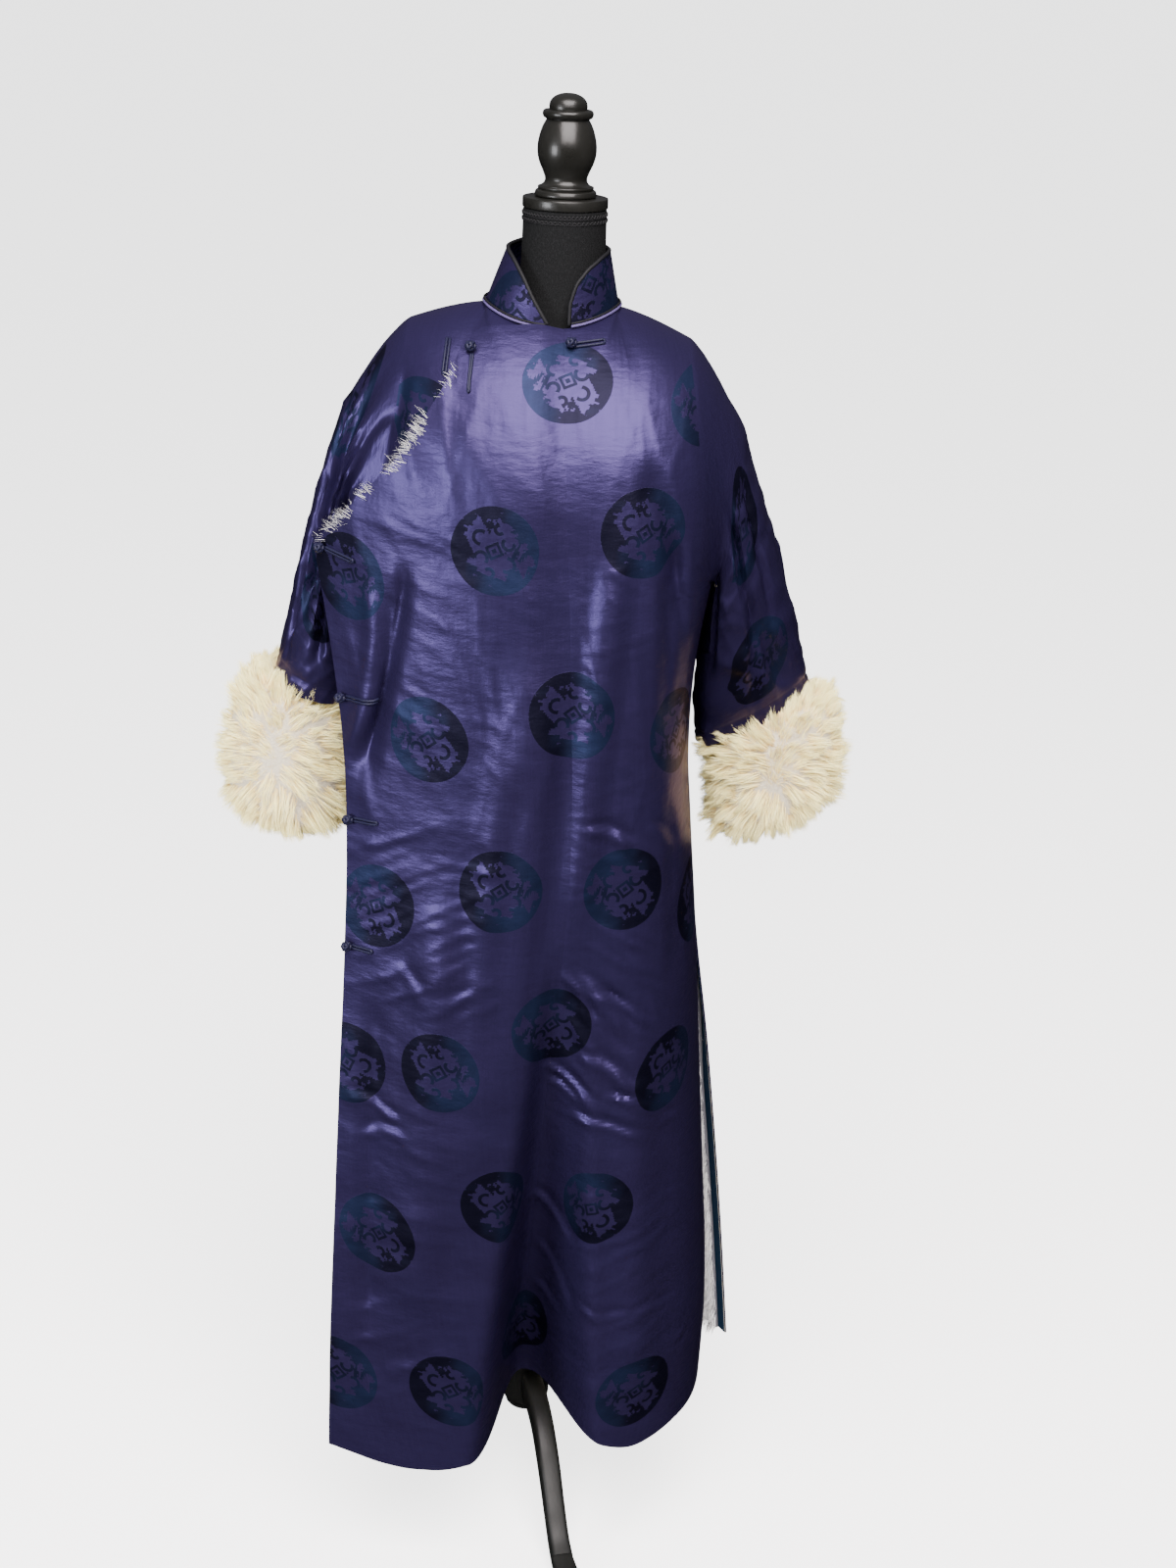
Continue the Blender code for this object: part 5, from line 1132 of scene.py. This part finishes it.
def fur_finish():
    """Cream hairs, each with its own tone, warmer at the root and darkened there as painted shade."""
    made, tree, shader = finish_of("cream_fur_hairs", (0.8, 0.74, 0.6), 0.62, Sheen_Weight=0.6,
                                   Sheen_Tint=(1.0, 0.93, 0.7, 1.0), Specular_IOR_Level=0.4)
    place = add_node(tree, "SeparateXYZ", {0: place_of(tree, "hair")})
    tone, along = place.outputs[0], place.outputs[1]
    # Darker, warmer roots: partly the fur's own colour and partly painted shade among the locks
    root = blend(tree, tone, (0.72, 0.48, 0.15), (1.0, 0.8, 0.38))
    tip = blend(tree, tone, (1.0, 0.88, 0.36), (1.0, 0.97, 0.56))
    share = calc(tree, "SMOOTH_MIN", calc(tree, "MULTIPLY", along, 1.7), 1.0, 0.2)
    use_colours(tree, shader, share, root, tip)
    return made


hairs = fur_finish()
DEPTHS_OF_HAIR = np.array([0.0, 0.38, 0.72, 1.0])


def hair_piece(name, roots, leans, bends, widths, tones, finish, slot, replaces=()):
    """Tapering ribbons: from its root each runs along its lean, bows by its bend as the square of its
    length, and narrows to a point. It is turned square to a random direction."""
    draw = np.random.default_rng(len(roots))
    t = DEPTHS_OF_HAIR[None, :, None]
    spine = roots[:, None] + leans[:, None] * t + bends[:, None] * t**2
    aside = unit(np.cross(leans, draw.standard_normal((len(roots), 3))))
    half = 0.5 * widths[:, None, None] * (1 - t**1.5 * 0.96)
    edges = np.stack([spine - aside[:, None] * half, spine + aside[:, None] * half], axis=2)
    count = 2 * len(DEPTHS_OF_HAIR)
    strip = np.array([(0, 1, 3, 2), (2, 3, 5, 4), (4, 5, 7, 6)])
    faces = (np.arange(len(roots))[:, None, None] * count + strip).reshape(-1, 4)
    hair_map = stacked(tones[:, None, None] + 0 * edges[..., 0], t + 0 * edges[..., 0])
    make_piece(name, edges.reshape(-1, 3), faces, finish, slot, {"hair": hair_map.reshape(-1, 2)}, replaces)


def cuff(side, sleeve_ring, past, rings, centre, seed, count=CUFF_HAIRS):
    """A cuff of fur: rings from its top to its bottom, rounded between, and back up through its mouth. The
    hide keeps well inside this outline, and the hairs reach out to it, away from a centre in front."""
    outer, inner = sleeve_ring[[0, 1]], sleeve_ring[[2, 3]]
    along = unit(outer - inner)
    down = end_direction(sleeve_ring)[[0, 2]] * (SLEEVE_START + GAP)
    top = [*(outer + along * past[0] + down), *(inner - along * past[1] + down), sleeve_ring[4] + past[2],
           sleeve_ring[5]]
    rings = np.concatenate([[top], rings])
    knots = np.arange(len(rings), dtype=float)

    def outline(place, turn, share):
        """A point of the cuff: an ellipse between the rings' outer and inner ends, scaled by a share."""
        ring = [smooth_curve(place * knots[-1], knots, rings[:, k]) for k in range(6)]
        middle = stacked(0.5 * (ring[0] + ring[2]), ring[5], 0.5 * (ring[1] + ring[3]))
        half = 0.5 * stacked(ring[0] - ring[2], 0 * place, ring[1] - ring[3])
        depth = stacked(0 * place, -ring[4], 0 * place)
        share = share[..., None]
        return middle + np.cos(turn)[..., None] * half * share + np.sin(turn)[..., None] * depth * share

    places = np.concatenate([np.linspace(0.04, 0.97, 30), np.linspace(0.97, 0.04, 24)])
    share = np.concatenate([np.full(30, CUFF_HIDE), np.full(24, CUFF_BORE + 0.05)])
    share[[0, 29]] = 0.72
    turn = turns(64)
    hide = outline(places[:, None] + 0 * turn, turn + 0 * places[:, None], share[:, None] + 0 * turn)
    grid_piece("fur_cuff_" + side + "_hide", np.concatenate([hide, hide[:1]]), lining, "fur", closed=True)
    draw = np.random.default_rng(seed)
    place = np.concatenate([draw.random(count), draw.random(count // 8) * 0.04,
                            1 - draw.random(count // 6) * 0.06])
    angle = 2 * np.pi * draw.random(len(place))
    reach = np.concatenate([np.full(count, ROOT_REACH), 0.5 + 0.3 * draw.random(count // 8),
                            0.48 + 0.3 * draw.random(count // 6)])
    roots = outline(place, angle, reach)
    skin = outline(place, angle, CUFF_SKIN + 0 * place)
    step = 0.01
    across = outline(place, angle + step, 0 * place + 1) - outline(place, angle - step, 0 * place + 1)
    lengthways = (outline(np.minimum(place + step, 1), angle, 0 * place + 1)
                  - outline(np.maximum(place - step, 0), angle, 0 * place + 1))
    normal = unit(np.cross(across, lengthways))
    normal *= np.sign((normal * (skin - roots)).sum(axis=1, keepdims=True))
    lengthways = unit(lengthways)
    away = skin - np.array(centre)
    away = unit(away - normal * (away * normal).sum(axis=1, keepdims=True), 1e-6)
    lie = (skin[:, 0], skin[:, 2] + skin[:, 1])
    tuft = stacked(*(ripples(*lie, s, 0.01, 0.028, 0.6, 1.5, 10) for s in (3, 4, 5)))
    loose = 0.18 * draw.standard_normal((len(place), 3))
    low_share = ramp((place - 0.75) / 0.25)[:, None]
    high_share = ramp((0.1 - place) / 0.1)[:, None]
    lock = ripples(*lie, 9, 0.012, 0.03, 0.9, 1.5, 10)
    length = ((HAIR_LENGTH + HAIR_LENGTH_MORE * draw.random(len(place))) * (1 + 0.3 * lock))[:, None]
    heading = unit(normal * 0.55 + away * 0.6 + tuft * 0.8 + loose
                   + lengthways * (0.55 * low_share - 0.6 * high_share))
    bends = (away * 0.3 + tuft * 0.3 + np.array([0, 0, -0.22])) * length * 0.5
    tips = roots + heading * length + bends
    locks = skin[:LOCKS]
    lock_of = np.argmin((locks**2).sum(axis=1)[None, :] - 2 * skin @ locks.T, axis=1)
    gathered = tips[lock_of] + 0.3 * (roots - roots[lock_of])
    tips = tips + (gathered - tips) * (0.45 + 0.35 * draw.random((len(place), 1)))
    heading = tips - bends - roots
    limit = np.array(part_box("fur_cuff_" + side)) - axis
    excess = np.maximum(tips - (limit[1] + 0.006), 0) + np.minimum(tips - (limit[0] - 0.006), 0)
    hair_piece("fur_cuff_" + side + "_hairs", roots, heading - excess, bends,
               HAIR_WIDTH + HAIR_WIDTH_MORE * draw.random(len(place)), draw.random(len(place)), hairs, "fur",
               ("fur_cuff_" + side,))


cuff("left", SLEEVE_LEFT[-1], (0.022, 0.003, 0.012), CUFF_LEFT, (0.262, -0.06, 0.965), 7)
cuff("right", SLEEVE_RIGHT[-1], (0.036, 0.008, 0.008), CUFF_RIGHT, (-0.315, -0.075, 0.965), 11)

# The standing collar. A band of damask, lower at its two free ends, with a black piping along its free
# edge and, in the seam at its base, a silk cord with a black one over it.
COLLAR = np.array([
    (-4.0, 0.003), (-10.0, 0.012), (-21.0, 0.026), (-34.0, 0.04), (-50.0, 0.05), (-80.0, 0.056),
    (-130.0, 0.055), (-180.0, 0.054), (-230.0, 0.055), (-280.0, 0.056), (-308.0, 0.055), (-328.0, 0.048),
    (-338.0, 0.036), (-342.0, 0.023)])
COLLAR_WALL, COLLAR_HEIGHT, COLLAR_ROWS, COLLAR_COLUMNS, COLLAR_OUT = 0.0025, 0.056, 14, 150, 0.0015
COLLAR_TOP_HALF_WIDTH, COLLAR_TOP_DEPTH, COLLAR_TOP_X = 0.0545, 0.053, -0.0055


def collar_point(turn, height, out=0.0, lift=0.0):
    """A point of the collar: the neck hole's ellipse leaning in to the collar's top ellipse."""
    share = np.clip(height / COLLAR_HEIGHT, -0.2, 1.2)
    front = np.cos(turn) > 0
    base_depth = np.where(front, NECK_FRONT, NECK_BACK)
    half_width = NECK_HALF_WIDTH + COLLAR_OUT + (COLLAR_TOP_HALF_WIDTH - NECK_HALF_WIDTH) * share + out
    half_depth = base_depth + COLLAR_OUT + (COLLAR_TOP_DEPTH - base_depth) * share + out
    x = NECK_X + (COLLAR_TOP_X - NECK_X) * share + half_width * np.sin(turn)
    middle = np.where(front, NECK_FRONT_Z, NECK_BACK_Z)
    z = middle + (NECK_SIDE_Z - middle) * np.sin(turn) ** 2 + height + 0.0008 + lift
    return stacked(x, -half_depth * np.cos(turn), z)


collar_turn = np.radians(smooth_curve(np.linspace(0, 1, COLLAR_COLUMNS), np.linspace(0, 1, len(COLLAR)),
                                      COLLAR[:, 0]))
collar_height = smooth_curve(-np.degrees(collar_turn), -COLLAR[:, 0], COLLAR[:, 1])
collar_share = np.linspace(0, 1, COLLAR_ROWS)[:, None]
band = collar_point(collar_turn + 0 * collar_share, collar_height * collar_share)
band_flat = stacked(-0.062 * collar_turn + 0 * collar_share, collar_height * collar_share)
centres = nearest_flat(band, band_flat, [(-0.046, 1.478, 15.0), (0.028, 1.517, 190.0)])
centres = np.concatenate([centres, [(0.14, 0.045, 30.0), (0.22, 0.005, 190.0), (0.3, 0.05, 10.0)]])
collar_faces = grid_faces(COLLAR_ROWS, COLLAR_COLUMNS, flip=True)
collar_maps = {"threads": band_flat.reshape(-1, 2), "roundels": roundel_map(band_flat, collar_faces, centres)}
collar = make_piece("collar_silk", band.reshape(-1, 3), collar_faces, silk, "silk", collar_maps, ("collar",))
wall(collar, COLLAR_WALL)


def cord_finish(name, colour, roughness):
    """Bias-cut silk cord: a fine twill slant round it, with painted highlights on its threads."""
    made, tree, shader = finish_of(name, colour, roughness, Specular_IOR_Level=0.15)
    place = place_of(tree)
    twill = use_streaks(tree, place, 900.0, 900.0, 500.0)
    # The twill's threads are painted lighter: a painted highlight
    lighter = tuple(1.9 * part + 0.001 for part in colour)
    use_colours(tree, shader, calc(tree, "POWER", twill, 1.6), colour, lighter)
    use_bump(tree, shader, 0.4, 0.0004, twill)
    return made


black_cord = cord_finish("black_piping", (0.004, 0.004, 0.005), 0.6)
navy_cord = cord_finish("navy_cord", (0.006, 0.006, 0.018), 0.42)
silk_cord = cord_finish("violet_silk_cord", (0.055, 0.042, 0.11), 0.36)
PIPING = 0.0021


def cord_piece(name, cord, finish, *replaces):
    """A closed piece of cord from its points and faces."""
    make_piece(name, *cord, finish, "black_cord", replaces=replaces, closed=True)


edge = collar_point(collar_turn, collar_height, out=-0.5 * COLLAR_WALL)
along = np.gradient(edge, axis=0)
outward = stacked(np.sin(collar_turn), -np.cos(collar_turn), 0.25 + 0 * collar_turn)
away = unit(np.cross(outward, along))
edge = edge + away * np.sign(away[:, 2:]) * (PIPING * 0.8)
end_heights = collar_height[-1] * np.linspace(0.9, 0.1, 8)
end_turn = collar_turn[-1] - 0.8 * PIPING / NECK_FRONT
edge = np.concatenate([edge, collar_point(end_turn + 0 * end_heights, end_heights, out=-0.5 * COLLAR_WALL)])
reference = np.concatenate([outward, np.repeat(outward[-1:], 8, axis=0)])
cord_piece("collar_edge_cord", carry(edge, PIPING, 10, reference), black_cord, "collar_edge_piping")
base_turn = np.linspace(collar_turn[0], collar_turn[-1], 160)
base = collar_point(base_turn, 0 * base_turn, out=0.0019, lift=0.0012)
cord_piece("collar_base_silk_cord", carry(base, 0.0015, 8), silk_cord, "collar_base_piping")
base = collar_point(base_turn, 0 * base_turn, out=0.0012, lift=0.004)
cord_piece("collar_base_black_cord", carry(base, 0.0012, 8), black_cord)

# The fasteners. Each is a cord tied into a ball knot, which slips through a looped strap of two cords that
# is sewn flat to the robe. Each row gives the knot's x and z and those of the strap's far end.
FASTENERS = [
    ("neck", 0.013, 1.456, 0.046, 1.461), ("shoulder", -0.089, 1.444, -0.09, 1.408),
    ("corner", -0.243, 1.23, -0.209, 1.222), ("side_upper", -0.218, 1.066, -0.183, 1.071),
    ("side_middle", -0.208, 0.929, -0.179, 0.932), ("side_lower", -0.208, 0.783, -0.183, 0.783)]
KNOT_RADIUS, KNOT_CORD, STRAP_CORD = 0.0062, 0.0018, 0.00145


def ball_knot(centre):
    """A cord that winds over a ball: it goes round three times while it swings up and down four times."""
    t = turns(150)
    swing = 0.95 * np.sin(4 * t)
    radius = (KNOT_RADIUS - 0.0019) * (1 + 0.1 * np.cos(12 * t))
    path = stacked(radius * np.cos(3 * t) * np.cos(swing), radius * np.sin(3 * t) * np.cos(swing),
                   radius * np.sin(swing))
    return carry(centre + path, KNOT_CORD, 7, unit(path), closed=True)


def strap_loop(start, end, surface):
    """A cord that runs out along the strap's one side, round its end and back along the other."""
    start, end = np.array(start), np.array(end)
    along = unit(end - start)
    beside = np.array([-along[1], along[0]])
    run = np.concatenate([np.linspace(0, 1, 24), np.linspace(1, 1, 9), np.linspace(1, 0, 24)])
    turn = np.concatenate([np.full(24, 0.0), np.linspace(0, np.pi, 9), np.full(24, np.pi)])
    offset = 1.15 * STRAP_CORD
    flat = (start + run[:, None] * (end - start) + beside * (offset * np.cos(turn))[:, None]
            + along * (offset * np.sin(turn))[:, None])
    points, normals = surface(flat[:, 0], flat[:, 1])
    return carry(points + normals * 0.0012, STRAP_CORD, 7, normals)


def left_surface(x, z):
    """Points and outward directions of the left front."""
    return stacked(x, front_face(x, z), z), front_normal(x, z)


def overlap_surface(x, z):
    """Points and outward directions of the overlap."""
    return overlap_face(x, z), front_normal(x, z)


def under_surface(x, z):
    """Points and outward directions of the under front."""
    return stacked(x, under_y(x, z), z), front_normal(x, z, under_y)


for name, knot_x, knot_z, strap_x, strap_z in FASTENERS:
    surface = left_surface if name == "neck" else overlap_surface
    knot, far = np.array([knot_x, knot_z]), np.array([strap_x, strap_z])
    direction = unit(far - knot)
    place, normal = surface(knot[:1], knot[1:])
    cord_piece("knot_" + name + "_tied", ball_knot(place[0] + normal[0] * (KNOT_RADIUS + GAP)), navy_cord,
               "knot_" + name)
    cord_piece("strap_" + name + "_cord", strap_loop(knot + direction * 0.004, far, surface), navy_cord,
               "strap_" + name)
cord_piece("loose_loop_cord", strap_loop((-0.117, 1.456), (-0.119, 1.425), under_surface), navy_cord,
           "loose_loop")

# The open slit. Inside the back panel's edge runs a strip of plain teal silk, and beside it the fur of the
# lining, whose hairs lie out and down past the front panel's edge.
FACING_WIDTH, SLIT_FUR_WIDTH, SLIT_FUR_COLUMNS, SLIT_HIDE, SLIT_HAIRS = 0.016, 0.036, 24, 0.0035, 8000
slit_rows = int(np.searchsorted(left_back[:, -1, 2], SLIT_TOP - 1e-6))


def back_strip(start, width, depth, columns):
    """Points of a strip inside the back panel, measured along the panel's rows from their free ends."""
    plan = left_back[:slit_rows, ::-1, :2]
    run = np.concatenate([np.zeros((slit_rows, 1)),
                          np.cumsum(np.linalg.norm(np.diff(plan, axis=1), axis=-1), axis=1)], axis=1)
    at = start + np.linspace(0, width, columns)
    place = np.array([[np.interp(at, r, p[:, k]) for k in range(2)] for r, p in zip(run, plan)])
    ahead = np.array([[np.interp(at + 0.001, r, p[:, k]) for k in range(2)] for r, p in zip(run, plan)])
    along = (ahead - place) / np.linalg.norm(ahead - place, axis=1, keepdims=True)
    inward = np.stack([-along[:, 1], along[:, 0]], axis=1)
    place = np.moveaxis(place + inward * depth, 1, 2)
    z = left_back[:slit_rows, -1:, 2] + 0 * place[..., 0]
    return np.concatenate([place, z[..., None]], axis=-1), np.moveaxis(inward, 1, 2)


facing_points, _ = back_strip(0.0012, FACING_WIDTH, CLOTH + 0.0006, 8)
TEAL_DARK, TEAL_LIGHT = (0.003, 0.012, 0.027), (0.008, 0.026, 0.058)
facing_silk, tree, shader = finish_of("teal_facing_silk", TEAL_LIGHT, 0.6, Specular_IOR_Level=0.04)
weave = use_streaks(tree, place_of(tree, "threads"), 60.0, 1300.0)
use_colours(tree, shader, weave, TEAL_DARK, TEAL_LIGHT)
use_bump(tree, shader, 0.3, 0.0004, weave)
facing = grid_piece("slit_facing_silk", facing_points, facing_silk, "facing", ring=False, flip=True,
                    maps={"threads": facing_points[..., ::2]}, replaces=("slit_facing",))
wall(facing, 0.0009)

# The finish of the loose grey-white fur, here and at the overlap's slanting edge. Its dark roots are partly
# the fur's grey and partly painted shade deep in the fur.
grey_fur, tree, shader = finish_of("grey_white_fur", (0.7, 0.7, 0.7), 0.6, Sheen_Weight=0.2)
place = add_node(tree, "SeparateXYZ", {0: place_of(tree, "hair")})
root_tone_and_shade = blend(tree, place.outputs[0], (0.1, 0.1, 0.12), (0.65, 0.65, 0.66))
tip_tone = blend(tree, place.outputs[0], (0.75, 0.76, 0.77), (1.0, 1.0, 0.97))
use_colours(tree, shader, place.outputs[1], root_tone_and_shade, tip_tone)

draw = np.random.default_rng(17)
fur_points, fur_in = back_strip(FACING_WIDTH - 0.001, SLIT_FUR_WIDTH, CLOTH + 0.001, SLIT_FUR_COLUMNS)
row = (slit_rows - 2) * draw.random(SLIT_HAIRS) ** 0.95
column = (SLIT_FUR_COLUMNS - 2) * draw.random(SLIT_HAIRS)
j, i = row.astype(int), column.astype(int)
roots = fur_points[j, i] + (fur_points[j + 1, i] - fur_points[j, i]) * (row - j)[:, None]
roots = roots + (fur_points[j, i + 1] - fur_points[j, i]) * (column - i)[:, None]
inward = np.column_stack([fur_in[j, i], np.zeros(SLIT_HAIRS)])
outer_edge = unit(fur_points[j, 0] - fur_points[j, -1])
length = (0.014 + HAIR_LENGTH_MORE * draw.random(SLIT_HAIRS))[:, None]
tuft = ripples(roots[:, 2], column * 0.0016, 51, 0.012, 0.04, 0.1, 0.4, 10)[:, None]
heading = unit(inward * 0.5 + outer_edge * (0.1 + 0.45 * tuft) + np.array([0, 0, -0.72])
               + 0.16 * draw.standard_normal((SLIT_HAIRS, 3)))
hair_piece("slit_fur_hairs", roots + inward * 0.003, heading * length, -inward * length * 0.2,
           HAIR_WIDTH + HAIR_WIDTH_MORE * draw.random(SLIT_HAIRS), draw.random(SLIT_HAIRS), grey_fur, "fur",
           ("slit_fur",))
inner_face = fur_points + stacked(fur_in[..., 0], fur_in[..., 1], 0 * fur_in[..., 0]) * SLIT_HIDE
# The hide has no hair map, so it takes the darkest root colour: painted shade among the hairs
grid_piece("slit_fur_hide", np.concatenate([fur_points, inner_face[:, ::-1]], axis=1), grey_fur, "fur")

# Fur that slips out from under the overlap's slanting edge: thin grey-white tufts, dark at their roots
# partly from their grey and partly as painted shade under the edge.
# Each tuft is given by x, half width and strength.
edge_turn = OVERLAP_EDGE[3:]
run = run_of(edge_turn)
EDGE_HAIRS = 330
TUFTS = np.array([(-0.113, 0.0035, 0.5), (-0.141, 0.0045, 1.0), (-0.153, 0.006, 0.8), (-0.168, 0.005, 0.4),
                  (-0.198, 0.0035, 0.7), (-0.22, 0.0035, 0.8), (-0.232, 0.004, 0.8), (-0.246, 0.002, 0.5)])
weight = TUFTS[:, 1] * TUFTS[:, 2]
tuft_of = draw.choice(len(TUFTS), EDGE_HAIRS, p=weight / weight.sum())
spot = TUFTS[tuft_of, 0] + TUFTS[tuft_of, 1] * draw.standard_normal(EDGE_HAIRS)
spot = np.clip(spot, edge_turn[-1, 0], edge_turn[0, 0])
at = np.interp(-spot, -edge_turn[:, 0], run)
x, z = smooth_curve(at, run, edge_turn[:, 0]), smooth_curve(at, run, edge_turn[:, 1])
inset = 0.004 + 0.008 * draw.random(EDGE_HAIRS)
slope = np.array([-0.72, 0.69])
points = overlap_face(x - slope[0] * inset, z - slope[1] * inset)
normals = front_normal(x, z)
roots = points - normals * (0.0032 + 0.003 * draw.random(EDGE_HAIRS))[:, None]
clump = ripples(at, 0 * at, 61, 0.004, 0.012, 0.0, 0.1, 8)[:, None]
length = (0.004 + 0.015 * TUFTS[tuft_of, 2] * draw.random(EDGE_HAIRS) ** 0.8 + inset)[:, None]
lean = np.array([slope[0], -0.25, slope[1]]) + clump * np.array([0.45, 0.0, 0.45])
lean = unit(lean + 0.24 * draw.standard_normal((EDGE_HAIRS, 3)))
hair_piece("edge_fur_hairs", roots, lean * length, normals * 0.002 + np.array([0, 0, -0.002]),
           0.0004 + 0.0002 * draw.random(EDGE_HAIRS), draw.random(EDGE_HAIRS), grey_fur, "fur", ("edge_fur",))

# The studio: a pale floor, one wide soft light high in front, a weaker one on the left at chest height,
# and a room that is darker low down.
FLOOR = 60.0
floor_mesh = bpy.data.meshes.new("studio_floor")
floor_mesh.from_pydata([(-FLOOR, -FLOOR, 0), (FLOOR, -FLOOR, 0), (FLOOR, FLOOR, 0), (-FLOOR, FLOOR, 0)], [],
                       [(0, 1, 2, 3)])
floor = put("studio_floor", floor_mesh)
floor_finish, tree, shader = finish_of("pale_floor", (0.9, 0.9, 0.9), 0.9, Specular_IOR_Level=0.1,
                                       Emission_Color=(1.0, 1.0, 1.0, 1.0))
seen = add_node(tree, "LightPath").outputs["Is Camera Ray"]
set_sockets(tree, shader, {"Emission Strength": calc(tree, "MULTIPLY", seen, 2.6)})
floor_mesh.materials.append(floor_finish)
floor.visible_glossy = False

world = bpy.data.worlds.new("studio_room")
bpy.context.scene.world = world
world.use_nodes = True
room = world.node_tree
background = room.nodes["Background"]
facing_up = add_node(room, "SeparateXYZ", {0: add_node(room, "TexCoord").outputs["Generated"]}).outputs[2]
height = add_node(room, "MapRange", {"Value": facing_up, "From Min": -0.15, "From Max": 0.85}).outputs[0]
lit = blend(room, height, (0.015, 0.015, 0.017), (0.3, 0.3, 0.33))
seen = add_node(room, "LightPath").outputs["Is Camera Ray"]
set_sockets(room, background, {"Color": blend(room, seen, lit, (0.9, 0.9, 0.91)), "Strength": 1.0})


def soft_light(name, place, aim, size, power, colour):
    """A square area light that looks from its place to a point of the robe."""
    data = bpy.data.lights.new(name, "AREA")
    data.size = size
    data.energy = power
    data.color = colour
    light = put(name, data)
    light.location = place
    away = light.location - type(light.location)(aim)
    light.rotation_euler = away.to_track_quat("Z", "Y").to_euler()


soft_light("front_light", (0.25, -2.1, 3.7), (0.0, 0.0, 1.3), 3.0, 560, (1.0, 0.93, 0.92))
soft_light("left_light", (-2.45, -2.2, 1.35), (0.0, 0.0, 1.15), 1.2, 112, (0.95, 0.96, 1.0))

# The camera stands 2.55 m in front of the form at eye height and is held a little rolled
CAMERA_ASIDE, CAMERA_DISTANCE, CAMERA_HEIGHT, LENS, SENSOR_WIDTH = 0.0488, 2.55, 1.9, 54.0, 36.0
camera_data = bpy.data.cameras.new("camera")
camera_data.lens = LENS
camera_data.sensor_width = SENSOR_WIDTH
camera = put("camera", camera_data)
camera.location = (axis[0] + CAMERA_ASIDE, axis[1] - CAMERA_DISTANCE, CAMERA_HEIGHT)
PITCH, ROLL = math.radians(20.7), math.radians(2.3)
forward = np.array([0.0, math.cos(PITCH), -math.sin(PITCH)])
level_right = np.array([1.0, 0.0, 0.0])
level_up = np.cross(level_right, forward)
right = math.cos(ROLL) * level_right + math.sin(ROLL) * level_up
up = math.cos(ROLL) * level_up - math.sin(ROLL) * level_right
camera.rotation_mode = "QUATERNION"
turned_axes = type(camera.matrix_world)([(right[k], up[k], -forward[k], 0.0) for k in range(3)]
                                        + [(0, 0, 0, 1)])
camera.rotation_quaternion = turned_axes.to_quaternion()
bpy.context.scene.camera = camera
